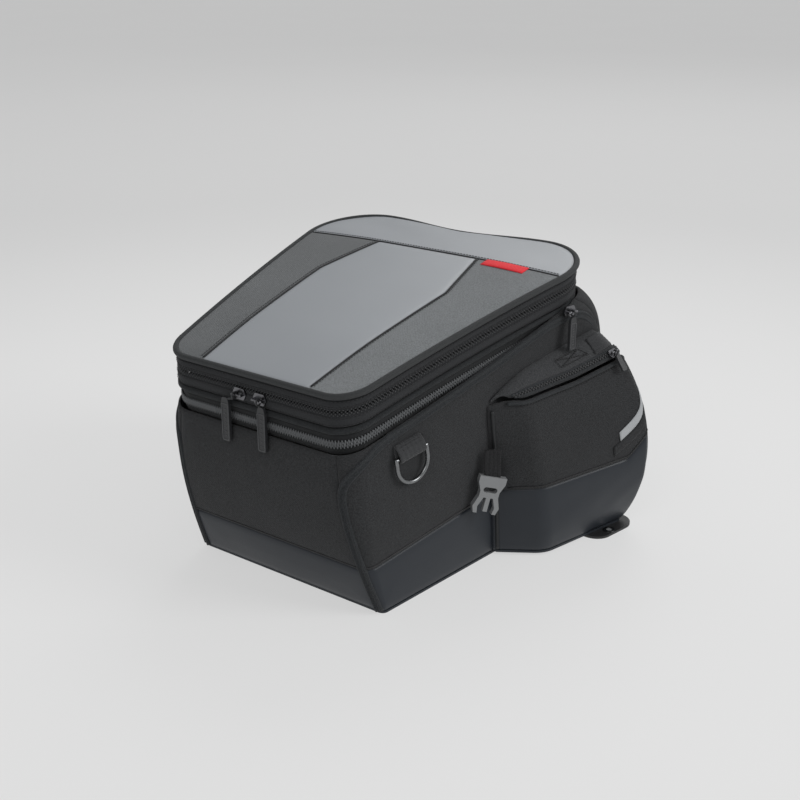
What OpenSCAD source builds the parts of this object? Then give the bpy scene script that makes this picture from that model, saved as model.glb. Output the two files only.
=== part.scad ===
// Expandable tail bag for a motorcycle's rear seat: a wedge-shaped fabric bag with a zipped lid,
// an expansion collar and a zipped pocket on each side. Millimetres, +Z up. The near end, with the
// two lid zipper pulls, faces -Y. The origin is under the middle of the whole bag, on the ground.

/* [Base] */
// Width of the base at the near end
base_near_w = 214; // [180:1:240]
// Width of the base at the far end
base_far_w = 251; // [215:1:280]
// Length of the base
base_len = 290; // [260:1:320]

/* [Body] */
// Width of the body's top at the near end
body_near_w = 204; // [190:1:215]
// Width of the body's top at the far end
body_far_w = 334; // [325:1:340]

/* [Lid] */
// Width of the lid at the near end, corners unrounded
lid_near_w = 205; // [180:1:225]
// Width of the lid at the far end, corners unrounded
lid_far_w = 317; // [300:1:325]
// Length of the lid
lid_len = 305; // [295:1:308]
// How far the lid's near edge overhangs the near edge of the base
lid_reach = 37.5; // [34:0.5:40]
// Height of the lid's near edge
lid_near_h = 202.5; // [195:0.5:215]
// Slope of the lid at its near edge
lid_rise = 0.277; // [0.2:0.001:0.3]
// How much the slope has levelled off, in millimetres at 300 mm from the near edge
lid_droop = 17; // [5:1:25]
// Height of the lid's crown over its edges
lid_crown = 4; // [1:0.5:8]
// Corner radius at the near end
near_corner_r = 30; // [20:1:40]
// Corner radius at the far end
far_corner_r = 56; // [40:1:65]
// Diameter of the lid's piping
lid_piping_d = 6; // [4:0.5:8]

/* [Collar and zippers] */
// Depth of the whole collar under the lid's edge, down to the body
collar_drop = 50; // [45:1:60]
// Travel of the expansion collar
expansion = 40; // [20:1:45]

/* [Side pockets] */
// Y of a pocket's front corner at the base, from the near edge of the base
pocket_front = 149; // [135:1:160]
// Y of a pocket's rear edge, from the near edge of the base
pocket_rear = 287; // [275:1:290]
// Half width over the pockets where they bulge most
pocket_half_w = 207; // [198:1:212]
// Height of a pocket's outer top edge at its rear
pocket_h = 179; // [165:1:185]

/* [Hidden] */

$fn = 48;
fabric = 2;                 // wall thickness of the sewn panels
board = 2.5;                // thickness of the stiffener boards

// ---- places along the bag's outline, counted from the near end's middle to the far end's middle
n_edge = 6;                 // steps along half an end
n_arc = 8;                  // steps round a corner
n_side = 16;                // steps along a side
c_near = n_edge;                        // the near corner starts
c_side = c_near + n_arc;                // the side starts
c_far = c_side + n_side;                // the far corner starts
c_back = c_far + n_arc;                 // the far end starts
c_last = c_back + n_edge;               // the far end's middle
c_pipe_near = c_near + 2;               // the side piping, at the near corner
c_pipe_far = c_far + 2;                 // the side piping, at the far corner

// ---- the lid's edge and the layers under it, as drops from the edge
near_y = -lid_reach;
far_y = lid_len - lid_reach;
band_top = 3;
slit_top = 14.5;            // the main zipper's slit, between the lid's band and the collar's
slit_low = 15.5;
collar_low = 27.5;
ridge_low = 34;
coil_line = 43;             // the closed expansion zipper: where the collar parts from the body

// ---- the body
near_lean = 38;             // how far the near end leans out
lean_full = 0.87;           // share of the height at which the near end stands upright
body_far_top = 280;         // y the far end leans to, before its top edge rounds in
shoulder_rise = 17.5;       // how much higher the body reaches up the collar at rise_y
rise_y = 189;
base_near_r = 6;
base_far_r = 12;
skirt_near_h = 46;          // height of the coated lower skirt at the near end
skirt_slope = 0.13;
shoulder = 0.985;           // share of the height where the side panel's top seam runs

// ---- the middle of the whole bag, from its nearest and farthest points
pull_front = near_y - 8.1;  // the nearest point, on the main pulls' rings
tab_back = 296;             // the farthest point, on the mounting tabs
mid_y = (pull_front + tab_back) / 2;
handle_back = base_len + 4;

function mix(a, b, f) = a + (b - a) * f;
function clamp01(v) = min(1, max(0, v));
function flat(rows) = [for (row = rows) each row];
function unit(v) = v / norm(v);

// Height of the lid's edge above the ground
function lid_z(y) = lid_near_h + lid_rise * (y + lid_reach) - lid_droop * pow((y + lid_reach) / 300, 2);
// Height of the body's top edge
function body_z(y) = lid_z(y) - collar_drop + shoulder_rise * pow(min(max(y, 0), 225) / rise_y, 2);

// An outline is [near half width, far half width, near y, far y, near radius, far radius, inward
// bow of the far end]
function shrink(o, d) = [o[0] - d, o[1] - d, o[2] + d, o[3] - d, max(1, o[4] - d), max(1, o[5] - d), o[6]];
function taper(o) = atan2(o[1] - o[0], o[3] - o[2]);
function near_centre(o) = [o[0] - o[4] / tan((90 + taper(o)) / 2), o[2] + o[4]];
function far_centre(o) = [o[1] - o[5] / tan((90 - taper(o)) / 2), o[3] - o[5]];
function on_arc(centre, r, angle) = centre + r * [cos(angle), sin(angle)];

// Point number c of an outline; negative numbers are on the left
function outline_point(o, c) =
    let (k = abs(c), a = taper(o), n = near_centre(o), f = far_centre(o),
        p = k <= c_near ? [n[0] * k / n_edge, o[2]]
          : k <= c_side ? on_arc(n, o[4], -90 + (90 - a) * (k - c_near) / n_arc)
          : k <= c_far ? mix(on_arc(n, o[4], -a), on_arc(f, o[5], -a), (1 - cos(180 * (k - c_side) / n_side)) / 2)
          : k <= c_back ? on_arc(f, o[5], -a + (90 + a) * (k - c_far) / n_arc)
          : [f[0] * (c_last - k) / n_edge, o[3] - o[6] * (1 - cos(180 * (k - c_back) / n_edge)) / 2])
    c < 0 ? [-p[0], p[1]] : p;

// Half width of an outline at y
function half_width(o, y) =
    let (a = taper(o), n = near_centre(o), f = far_centre(o),
        y1 = n[1] - o[4] * sin(a), y2 = f[1] - o[5] * sin(a))
    y < y1 ? n[0] + sqrt(max(0, o[4] * o[4] - pow(y - n[1], 2)))
    : y > y2 ? f[0] + sqrt(max(0, o[5] * o[5] - pow(y - f[1], 2)))
    : o[0] + (o[1] - o[0]) * (y - o[2]) / (o[3] - o[2]);

far_bow = 9;                // the lid's far edge bows inward in its middle
lid_outline = [lid_near_w / 2, lid_far_w / 2, near_y, far_y, near_corner_r, far_corner_r, far_bow];

// The body's outline at a share t of its height
function body_outline(t) = [
    mix(base_near_w / 2, body_near_w / 2, t),
    mix(base_far_w / 2, body_far_w / 2, t) - 6 * pow(t, 12),
    -near_lean * (1 - pow(1 - clamp01(t / lean_full), 1.6)),
    mix(base_len, body_far_top, t) - 18 * pow(t, 12),
    mix(base_near_r, near_corner_r - 3, t),
    base_far_r + (far_corner_r - base_far_r) * pow(t, 6),
    far_bow * pow(t, 8)
];
function body_point(c, t, inset = 0) =
    let (p = outline_point(shrink(body_outline(t), inset), c)) [p[0], p[1], t * body_z(p[1])];

// Share of the height of the seam over the coated skirt, and of the side panel's top seam
function skirt_t(c) =
    let (y = outline_point(body_outline(0.3), c)[1]) (skirt_near_h + skirt_slope * (y + 20)) / body_z(y);
function round_off(u) = sqrt(1 - pow(1 - clamp01(u), 2));
function shoulder_t(c) =
    let (o = body_outline(0.9), y = outline_point(o, c)[1],
        y_n = outline_point(o, c_pipe_near)[1], y_f = outline_point(o, c_pipe_far)[1],
        rise = min(round_off((y - y_n) / 45), round_off((y_f - y) / 42)))
    mix(0.79, shoulder, rise);

// ---- solids made from grids of points
// Triangles of a grid of points; flip turns them to face the other way
function grid_faces(rows, cols, start, flip) = [
    for (r = [0:rows - 2], c = [0:cols - 2])
        let (a = start + r * cols + c, b = a + 1, d = a + cols, e = d + 1)
        each flip ? [[a, d, b], [b, d, e]] : [[a, b, d], [b, e, d]]
];
// Triangles of the strip between two rows of point numbers
function strip_faces(p, q) = [
    for (i = [0:len(p) - 2]) each [[p[i], q[i], p[i + 1]], [p[i + 1], q[i], q[i + 1]]]
];
// A closed slab between two grids of the same size. Seen from outside, the outer grid's rows go up
// and its columns go to the right.
module slab(outer, inner) {
    rows = len(outer);
    cols = len(outer[0]);
    n = rows * cols;
    low = [for (c = [0:cols - 1]) c];
    top = [for (c = [0:cols - 1]) (rows - 1) * cols + c];
    left = [for (r = [0:rows - 1]) r * cols];
    right = [for (r = [0:rows - 1]) r * cols + cols - 1];
    behind = function (list) [for (i = list) i + n];
    polyhedron(
        points = concat(flat(outer), flat(inner)),
        faces = concat(
            grid_faces(rows, cols, 0, true),
            grid_faces(rows, cols, n, false),
            strip_faces(behind(low), low),
            strip_faces(top, behind(top)),
            strip_faces(left, behind(left)),
            strip_faces(behind(right), right)
        ),
        convexity = 6
    );
}

// A closed band right round the bag: four rings of points, in the order outer low, outer top,
// inner top, inner low
module hoop(rings) {
    n = len(rings[0]);
    m = len(rings);
    polyhedron(
        points = flat(rings),
        faces = [
            for (r = [0:m - 1], i = [0:n - 1])
                let (a = r * n + i, b = r * n + (i + 1) % n,
                    d = ((r + 1) % m) * n + i, e = ((r + 1) % m) * n + (i + 1) % n)
                each [[a, d, b], [b, d, e]]
        ],
        convexity = 6
    );
}
around = [for (c = [-c_last:c_last - 1]) c];

// One ring of points at a drop below the lid's edge
function drop_ring(o, drop) = [
    for (c = around) let (p = outline_point(o, c)) [p[0], p[1], lid_z(p[1]) - drop]
];
// A band round the lid's outline, from one drop to another
module band(inset, thick, top, low) {
    out = shrink(lid_outline, inset);
    in = shrink(lid_outline, inset + thick);
    hoop([drop_ring(out, low), drop_ring(out, top), drop_ring(in, top), drop_ring(in, low)]);
}

// A round cord along a path. ref is a direction that the path never runs along.
module cord(path, r, ref, closed = false, sides = 8) {
    n = len(path);
    along = [for (i = [0:n - 1]) closed
        ? unit(path[(i + 1) % n] - path[(i + n - 1) % n])
        : unit(path[min(n - 1, i + 1)] - path[max(0, i - 1)])];
    points = [
        for (i = [0:n - 1]) let (u = unit(cross(along[i], ref)), v = cross(along[i], u))
            for (j = [0:sides - 1]) path[i] + r * (cos(360 * j / sides) * u + sin(360 * j / sides) * v)
    ];
    walls = [
        for (i = [0:(closed ? n - 1 : n - 2)], j = [0:sides - 1])
            let (k = (i + 1) % n, m = (j + 1) % sides)
            each [[i * sides + j, k * sides + j, i * sides + m], [i * sides + m, k * sides + j, k * sides + m]]
    ];
    caps = closed ? [] : [
        [for (j = [0:sides - 1]) j],
        [for (j = [sides - 1:-1:0]) (n - 1) * sides + j]
    ];
    polyhedron(points = points, faces = concat(walls, caps), convexity = 8);
}

// Every sub-part is drawn with y counted from the near edge of the base, then moved to the origin
module place() { translate([0, -mid_y, 0]) children(); }
module on_side(side) { if (side > 0) children(); else mirror([1, 0, 0]) children(); }

// ---- base
module base_panel() color("#232527") place() linear_extrude(2)
    polygon([for (c = around) outline_point(shrink(body_outline(0), 0.2), c)]);

module base_board() color("#3a3c3f") place() translate([0, 0, 2.2]) linear_extrude(board)
    polygon([for (c = around) outline_point(shrink(body_outline(0), 4), c)]);

// ---- body panels: a patch of the body's surface between two shares of the height
module patch(cols, low, top, rows, out = 0, thick = fabric) {
    grid = function (inset) [for (r = [0:rows]) [
        for (c = cols) body_point(c, mix(low(c), top(c), r / rows), inset)
    ]];
    slab(grid(out), grid(out + thick));
}
near_cols = [for (c = [-c_pipe_near:c_pipe_near]) c];
side_cols = [for (c = [c_pipe_near:c_pipe_far]) c];
far_cols = concat([for (c = [c_pipe_far:c_last]) c], [for (c = [c_last - 1:-1:c_pipe_far]) -c]);
ground_t = function (c) 0.013;
// The body's top edge dips below the collar's ridge at the far end
top_t = function (c) abs(c) < 31 ? 1 : max(0.95, 0.99 - 0.005 * (abs(c) - 32));
seam_t = function (c) skirt_t(c);
pipe_t = function (c) shoulder_t(c);

module near_end_panel() color("#2b2c2d") place() patch(near_cols, seam_t, top_t, 8);
module near_end_skirt() color("#2a2e33") place() patch(near_cols, ground_t, seam_t, 4);
module far_end_panel() color("#2b2c2d") place() patch(far_cols, seam_t, top_t, 7);
module far_end_skirt() color("#2a2e33") place() patch(far_cols, ground_t, seam_t, 3);
module side_panel(side) color("#2b2c2d") place() on_side(side) patch(side_cols, seam_t, pipe_t, 7);
module side_skirt(side) color("#2a2e33") place() on_side(side) patch(side_cols, ground_t, seam_t, 3);
module top_gusset() color("#2b2c2d") place() for (side = [1, -1])
    on_side(side) patch(side_cols, pipe_t, top_t, 1);

// The piping round a side panel: up the near corner, along the shoulder and down the far corner
piping_r = 3;
module side_piping(side) color("#3b3d3f") place() on_side(side) {
    up = [for (i = [0:7]) body_point(c_pipe_near, mix(0.025, shoulder_t(c_pipe_near), i / 8), 0.5)];
    over = [for (c = side_cols) body_point(c, shoulder_t(c), 0.5)];
    down = [for (i = [1:8]) body_point(c_pipe_far, mix(shoulder_t(c_pipe_far), 0.025, i / 8), 0.5)];
    cord(concat(up, over, down), piping_r, [1, 0.3, 0]);
}

// ---- the expansion zipper and the collar
module expansion_tape_lower() color("#1d1e20") place()
    band(5, 1.2, coil_line + 0.4, collar_drop + 4);
module expansion_tape_upper() color("#1d1e20") place()
    band(5, 1.2, ridge_low - 2, coil_line - 0.1);
module collar_ridge() color("#3a3b3d") place() band(0.6, 4.2, collar_low + 0.6, ridge_low);
module collar_band() color("#353638") place() band(1.6, 3, slit_low, collar_low + 0.5);
module expansion_sleeve() color("#1f2022") place()
    band(9, 1.2, ridge_low + 1, collar_drop + expansion + 3);

// ---- lid: patches of its crowned top between two curves
function lid_top(x, y) =
    let (v = (y - near_y) / lid_len, w = half_width(lid_outline, y))
    lid_z(y) + lid_crown * (1 - pow(x / w, 2)) * clamp01(4 * v * (1 - v) * 1.4);
// The lid's rows of points bend with its far edge's bow
function bow_at(x, y) = far_bow * pow(clamp01((y - near_y) / lid_len), 6)
    * (1 + cos(180 * min(1, abs(x) / far_centre(lid_outline)[0]))) / 2;
function lid_edge(y, inset) = half_width(shrink(lid_outline, inset), y);
seam_far_y = 203;           // the seam in front of the lid's rear panel
kink_y = 132;               // the widest place of the centre panel
function centre_seam(y) = y < kink_y
    ? mix(60, 72.5, (y - near_y) / (kink_y - near_y))
    : mix(72.5, 57, (y - kink_y) / (seam_far_y - kink_y));
function eased(a, b, n) = [for (i = [0:n]) mix(a, b, (1 - cos(180 * i / n)) / 2)];

module lid_patch(rows, left, right, n, top = 0, thick = fabric) {
    grid = function (drop) [for (y0 = rows) [
        for (i = [0:n]) let (x = mix(left(y0), right(y0), i / n), y = y0 - bow_at(x, y0)) [x, y, lid_top(x, y0) - drop]
    ]];
    slab(grid(top), grid(top + thick));
}
edge_inset = 1.2;
lid_rows = eased(near_y + edge_inset, seam_far_y, 14);
rear_rows = eased(seam_far_y, far_y - edge_inset, 9);
lid_centre_line = function (y) centre_seam(y);
lid_centre_line_left = function (y) -centre_seam(y);
lid_edge_right = function (y) lid_edge(y, edge_inset);
lid_edge_left = function (y) -lid_edge(y, edge_inset);

module lid_centre_panel() color("#8d9196") place()
    lid_patch(lid_rows, lid_centre_line_left, lid_centre_line, 8);
module lid_side_panel(side) color("#6a6c6e") place() on_side(side)
    lid_patch(lid_rows, lid_centre_line, lid_edge_right, 4);
module lid_rear_panel() color("#8d9196") place() lid_patch(rear_rows, lid_edge_left, lid_edge_right, 12);
module lid_board() color("#3a3c3f") place()
    lid_patch(eased(near_y + 5, far_y - 5, 16), function (y) -lid_edge(y, 5), function (y) lid_edge(y, 5),
        10, fabric + 0.2, board);
module lid_piping() color("#4a4c4e") place()
    cord(drop_ring(shrink(lid_outline, 0.5), 1.2), lid_piping_d / 2, [0, 0, 1], closed = true);
module lid_band() color("#353638") place() band(1.6, 3, band_top, slit_top);

tag_w = 45;
tag_l = 13;
module woven_tag() color("#c9202b") place() {
    slope = atan(lid_rise - 2 * lid_droop * (seam_far_y + lid_reach) / 90000);
    translate([90, seam_far_y - 1, lid_top(90, seam_far_y) + 0.1]) rotate([slope, 3, 0])
        translate([-tag_w / 2, -tag_l, 0]) linear_extrude(1.3)
            offset(3) offset(-3) square([tag_w, tag_l]);
}

// ---- zipper sliders and pulls. A slider is drawn at the origin with its plate in the XZ plane,
// facing -Y, and travels along X. Its bridge is a bar along X, and the pull's ring hangs on it.
bridge_y = -6;              // axis of the bridge bar, off the plate's back
bridge_r = 0.9;
ring_r = 2.6;               // middle radius of the pull's ring
ring_wire = 0.8;
ring_drop = ring_r - ring_wire - bridge_r - 0.06;

module slider_body() {
    rotate([90, 0, 0]) linear_extrude(2.4) offset(1.6) offset(-1.6)
        polygon([[-7.5, 0], [-5, 5], [5, 5], [7.5, 0], [5, -5], [-5, -5]]);
    for (x = [-4.6, 4.6]) translate([x, 0, 0]) {
        rotate([90, 0, 0]) cylinder(r = 1.25, h = -bridge_y);
        translate([0, bridge_y, 0]) sphere(r = 1.25);
    }
    translate([-4.6, bridge_y, 0]) rotate([0, 90, 0]) cylinder(r = bridge_r, h = 9.2);
}
// The pull is drawn with the bridge bar's axis as its origin, hanging down. Its ring is at ring_x
// along the bar, and a link leads from it to the tab's head at tab_x.
module pull_body(length, width, ring_x = 0, tab_x = 0) {
    low = -ring_drop - ring_r;
    translate([ring_x, 0, -ring_drop]) rotate([0, 90, 0]) rotate_extrude()
        translate([ring_r, 0]) circle(ring_wire, $fn = 24);
    cord([[ring_x, 0, low], [mix(ring_x, tab_x, 0.5), -0.2, low - 1.2], [tab_x, 0, low - 3]],
        ring_wire + 0.2, [0, 1, 0]);
    translate([tab_x, 1.3, low - 1]) rotate([90, 0, 0]) linear_extrude(2.6) offset(2) offset(-2)
        polygon([[-3, 0], [3, 0], [width / 2, -6], [width / 2, -length], [-width / 2, -length], [-width / 2, -6]]);
}

slit_drop = (slit_top + slit_low) / 2;
slider_mid = -2.5;          // the main sliders meet just left of the middle
slider_x = 11.5;            // rest place of each main slider, from where they meet
main_pull_len = 39;
module at_main_slider(side) place()
    translate([slider_mid + side * slider_x, near_y + 1.3, lid_z(near_y) - slit_drop - 4.5]) children();
module main_slider(side) color("#3c3e41") at_main_slider(side) slider_body();
module main_pull(side) color("#26282b") at_main_slider(side) translate([0, bridge_y, 0])
    if (side > 0) pull_body(main_pull_len, 9, 2.2, 5.5);
    else pull_body(main_pull_len, 9, -2.2, -12.5);

// The expansion slider is parked at the far end of the right side
exp_y = 206;
exp_drop = 31;              // under the lid's edge
exp_turn = 90 - taper(body_outline(1));
module at_expansion_slider() place()
    translate([half_width(body_outline(1), exp_y) + piping_r + 0.4, exp_y, lid_z(exp_y) - exp_drop])
        rotate([0, 0, exp_turn]) children();
module expansion_slider() color("#3c3e41") at_expansion_slider() slider_body();
expansion_pull_len = 30;
module expansion_pull() color("#26282b") at_expansion_slider() translate([0, bridge_y, 0])
    pull_body(expansion_pull_len, 8);

// ---- D-rings in webbing loops, under the shoulder seam near the front
ring_bar_y = 22;            // middle of the ring's bar
ring_bar_drop = 74;         // under the lid's edge
ring_w = 30;                // inside width
ring_depth = 24;            // inside depth
ring_wire_r = 1.8;
ring_off = 5.5;             // the bar's axis stands this far off the side panel
ring_tilt = 10;
ring_turn = taper(lid_outline);
function body_half(y, z) = let (t = z / body_z(y)) half_width(body_outline(t), y);
ring_bar_z = lid_z(ring_bar_y) - ring_bar_drop;
module at_ring(side) place() on_side(side)
    translate([body_half(ring_bar_y, ring_bar_z) + ring_off, ring_bar_y, ring_bar_z])
        rotate([0, 0, -ring_turn]) rotate([ring_tilt, 0, 0]) children();

module d_ring(side) color("#54585d") at_ring(side) {
    half = ring_w / 2 + ring_wire_r;
    rotate([90, 0, 0]) cylinder(r = ring_wire_r, h = 2 * half, center = true);
    for (s = [-1, 1]) translate([0, s * half, 0]) {
        sphere(r = ring_wire_r);
        translate([0, 0, -(ring_depth - ring_w / 2)]) cylinder(r = ring_wire_r, h = ring_depth - ring_w / 2);
    }
    translate([0, 0, -(ring_depth - ring_w / 2)]) rotate([90, 0, 90]) rotate([0, 0, 180])
        rotate_extrude(angle = 180) translate([half, 0]) circle(ring_wire_r);
}
// Webbing folded round the bar and sewn down to the side panel above it
loop_w = 29;
module d_ring_loop(side) color("#2f3133") at_ring(side) {
    rotate([90, 0, 0]) translate([0, 0, -loop_w / 2]) linear_extrude(loop_w) difference() {
        union() {
            circle(r = ring_wire_r + 1.5);
            polygon([[-3.3, 0], [3.2, 0], [-1.2, 19], [-4.2, 19]]);
        }
        circle(r = ring_wire_r + 0.05);
    }
}

// ---- side pockets. Plan of a pocket's wall at a share h of its height: front corner on the body's
// side, outer front corner, outer rear corner, rear corner on the body's side.
pocket_base_z = 4;
pocket_lean = 23;           // how far a pocket's rear edge leans towards the near end
function pocket_edge_z(y) = pocket_h - 0.18 * (pocket_rear - pocket_lean - y);
function pocket_inner_z(y) = pocket_edge_z(y) + 22 * (1 - pow(1 - clamp01((y - 100) / 70), 2));
function bulge(h) = 4 * h * (1 - h);
function pocket_corner(k, h, inset) =
    let (z = mix(pocket_base_z, pocket_h, h),
        front = pocket_front - 36 * h,
        rear = pocket_rear - pocket_lean * h,
        rear_in = rear - 5 - 10 * h)
    k == 0 ? [body_half(front, z) + 0.6, front + inset]
    : k == 1 ? [158 - 6 * h + 7 * bulge(h) - inset, front + 28 - 2 * h + inset * 0.6]
    : k == 2 ? [pocket_half_w - 27 + 4 * h + 28.5 * bulge(h) - inset, rear - inset]
    : [body_half(rear_in - 4, z) + 0.6, rear_in - inset];
// An arc of n steps that rounds the corner b between a and c
function fillet(a, b, c, r, n) =
    let (u = unit(a - b), v = unit(c - b), half = acos(u * v) / 2, t = r / tan(half),
        m = b + unit(u + v) * r / sin(half), p = b + u * t - m, q = b + v * t - m)
    [for (i = [0:n]) let (w = i / n, s = unit(mix(p, q, w))) m + r * s];
function pocket_plan(h, inset = 0) =
    let (k = [for (i = [0:3]) pocket_corner(i, h, inset)])
    concat([k[0], mix(k[0], k[1], 0.3)], fillet(k[0], k[1], k[2], 26, 6),
        [for (i = [1:5]) mix(k[1], k[2], 0.22 + 0.13 * i)], fillet(k[1], k[2], k[3], 5, 4),
        [mix(k[2], k[3], 0.5), k[3]]);
pocket_n = len(pocket_plan(0));
// Height of the pocket's top over one of the plan's points: the edge, rising towards the body
function pocket_top_z(p) =
    let (wall = body_half(p[1], 160) + 0.6, outer = 160 + 17 * clamp01((p[1] - 150) / 112))
    mix(pocket_inner_z(p[1]), pocket_edge_z(p[1]), clamp01((p[0] - wall) / (outer - wall)));
function pocket_seam_z(y) = y < 250 ? 70 + 0.1 * (y - 115) : mix(83.5, 118, (y - 250) / (pocket_rear - 250));
function pocket_point(i, h, inset = 0) =
    let (p = pocket_plan(h, inset)[i], q = pocket_plan(1)[i])
    [p[0], p[1], mix(pocket_base_z, pocket_top_z(q), h)];
function pocket_seam_h(i) =
    let (q = pocket_plan(0.45)[i], t = pocket_plan(1)[i])
    (pocket_seam_z(q[1]) - pocket_base_z) / (pocket_top_z(t) - pocket_base_z);

module pocket_slab(low, top, rows) {
    grid = function (inset) [for (r = [0:rows]) [
        for (i = [0:pocket_n - 1]) pocket_point(i, mix(low(i), top(i), r / rows), inset)
    ]];
    slab(grid(0), grid(fabric));
}
module pocket_wall(side) color("#26282a") place() on_side(side)
    pocket_slab(function (i) pocket_seam_h(i), function (i) 1, 7);
module pocket_skirt(side) color("#282c31") place() on_side(side) {
    pocket_slab(function (i) 0, function (i) pocket_seam_h(i), 5);
    inner = [for (i = [1:pocket_n - 2]) pocket_plan(0, 0.3)[i]];
    wall_line = [for (f = [1:-0.25:0]) let (y = mix(inner[0][1] + 2, pocket_rear - 20, f)) [body_half(y, 4) + 0.8, y]];
    translate([0, 0, pocket_base_z - 1.3]) linear_extrude(2) polygon(concat(inner, wall_line));
}
pocket_cord_r = 1.8;
pocket_rim_first = 2;
pocket_rim_last = pocket_n - 5;
module pocket_piping(side) color("#3b3d3f") place() on_side(side) {
    rim = [for (i = [pocket_rim_first:pocket_rim_last]) pocket_point(i, 1, 0.6)];
    cord(rim, pocket_cord_r, [0, 0, 1]);
    rear = [for (s = [0:10]) pocket_point(pocket_rim_last + 1, mix(0.97, 0.02, s / 10), 0.3)];
    cord(rear, pocket_cord_r + 0.4, [0, 1, 0]);
    front = [for (s = [0:8]) pocket_point(0, mix(0.97, 0.02, s / 8), 0) + [1.6, -0.6, 0]];
    cord(front, pocket_cord_r, [1, 0, 0]);
}
// A reflective strip runs up the rear of the pocket's outer wall
module reflector(side) color("#c4c7ca") place() on_side(side) {
    place_at = function (f, up, out) let (i = mix(pocket_rim_last - 4.2, pocket_rim_last - 0.4, f),
        k = floor(i), w = i - k, h = mix(0.56, 0.74, f) + up)
        mix(pocket_point(k, h, -out), pocket_point(k + 1, h, -out), w);
    grid = function (out) [for (r = [0:2]) [for (c = [0:6]) place_at(c / 6, 0.035 * r, out)]];
    slab(grid(0.7), grid(0.1));
}

// The pocket's top flap is sewn to the body along its inner edge and zipped along its outer edge
flap_rows = [for (f = [0:0.1:1]) f];
flap_gap = 2.6;
function flap_outer(f) = let (y = mix(pocket_front - 36 + 22, pocket_rear - pocket_lean - 6, f))
    [mix(pocket_plan(1)[4][0] + 1, pocket_plan(1)[pocket_rim_last][0] - 3, pow(f, 0.45)) - 4 * pow(1 - f, 3), y];
module pocket_flap(side) color("#303234") place() on_side(side) {
    grid = function (lift) [for (i = [0:7]) [for (f = flap_rows)
        let (o = flap_outer(f), y = mix(mix(pocket_front - 34, pocket_rear - pocket_lean - 20, f), o[1], i / 7),
            wall = body_half(y, pocket_inner_z(y) + 3) + 1.6, x = mix(o[0], wall, 1 - i / 7))
        [x, y, mix(pocket_inner_z(y), pocket_edge_z(y), i / 7) + 2.6 * bulge(i / 7) + 6.5 * pow(1 - f, 4) + lift]]];
    slab(grid(flap_gap), grid(flap_gap + fabric));
}

// Pocket slider, parked at the rear of the zipped edge
pocket_zip_low = [flap_outer(0.25)[0], flap_outer(0.25)[1], pocket_edge_z(flap_outer(0.25)[1])];
pocket_zip_high = [flap_outer(0.9)[0], flap_outer(0.9)[1], pocket_edge_z(flap_outer(0.9)[1])];
pocket_zip_dir = unit(pocket_zip_high - pocket_zip_low);
module at_pocket_slider(side) place() on_side(side) translate(pocket_zip_high + [2.4, 0, 7.2])
    rotate([0, -asin(pocket_zip_dir[2]), atan2(pocket_zip_dir[1], pocket_zip_dir[0])]) rotate([-46, 0, 0]) children();
module pocket_slider(side) color("#3c3e41") at_pocket_slider(side) scale(0.8) slider_body();
module pocket_pull(side) color("#26282b") at_pocket_slider(side) scale(0.8)
    translate([0, bridge_y, 0]) rotate([16, 0, 0]) pull_body(20, 7);

// ---- compression strap with the male half of a side-release buckle, on the pocket's front edge
strap_w = 20;
strap_t = 1.6;
strap_z = 118;
strap_len = 24;
strap_y = pocket_front - 36 * (strap_z / pocket_h);
function strap_x() = body_half(strap_y, strap_z) + 9.9;
module at_strap(side) place() on_side(side) translate([strap_x(), strap_y - 9.4, strap_z + 1.8])
    rotate([0, 0, -40]) children();
module buckle_strap(side) color("#303234") at_strap(side) {
    translate([-strap_t / 2, -strap_w / 2, -strap_len]) cube([strap_t, strap_w, strap_len]);
    rotate([90, 0, 0]) translate([0, 0, -strap_w / 2]) cylinder(r = 1.4, h = strap_w);
}
plug_t = 6;
plug_turn = 14;             // the plug hangs turned towards the near end
module buckle_plug(side) color("#8a8c8e") at_strap(side) translate([0, 1, -strap_len]) rotate([-plug_turn, 0, 0]) {
    rotate([90, 0, 90]) translate([0, 0, -plug_t / 2]) linear_extrude(plug_t) difference() {
        polygon([[-12.5, 0], [12.5, 0], [12.5, -6], [9, -14], [9, -19], [12.5, -29], [10.5, -35], [7, -35],
            [8, -29], [4.5, -20], [2, -20], [2, -33], [-2, -33], [-2, -20], [-4.5, -20], [-8, -29], [-7, -35],
            [-10.5, -35], [-12.5, -29], [-9, -19], [-9, -14], [-12.5, -6]]);
        union() {
            translate([-4, -15]) square([8, 5]);
            for (s = [-1, 1]) translate([4 * s, -12.5]) circle(2.5);
        }
    }
}

// ---- rubberised mounting tabs under the pockets, each with a metal eyelet for a fixing hook
tab_t = 2.4;
tab_mid = [172, tab_back - 32];
eyelet_r = 3;
tab_hole = [181, 257];
module mount_tab(side) color("#151617") place() on_side(side) linear_extrude(tab_t) difference() {
    hull() {
        translate([136, 236]) square([2, 52]);
        translate([tab_mid[0] - 2, tab_mid[1] - 14]) circle(16);
        translate([tab_mid[0], tab_mid[1] + 14]) circle(18);
    }
    translate(tab_hole) circle(eyelet_r + 1);
}
module tab_eyelet(side) color("#7d8186") place() on_side(side) translate([tab_hole[0], tab_hole[1], 0])
    rotate_extrude() {
        translate([eyelet_r, 0.2]) square([1, tab_t + 0.6]);
        translate([eyelet_r, tab_t]) square([2.6, 0.8]);
    }

// ---- carry handle on the far end
module carry_handle() color("#2f3133") place() {
    path = [for (i = [0:12]) let (u = -1 + i / 6) [u * 62, handle_back - 2 - 16 * pow(abs(u), 3), 178]];
    for (i = [0:11]) let (a = path[i], b = path[i + 1]) hull() for (p = [a, b])
        translate(p) cube([1.2, 2, 25], center = true);
}

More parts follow.
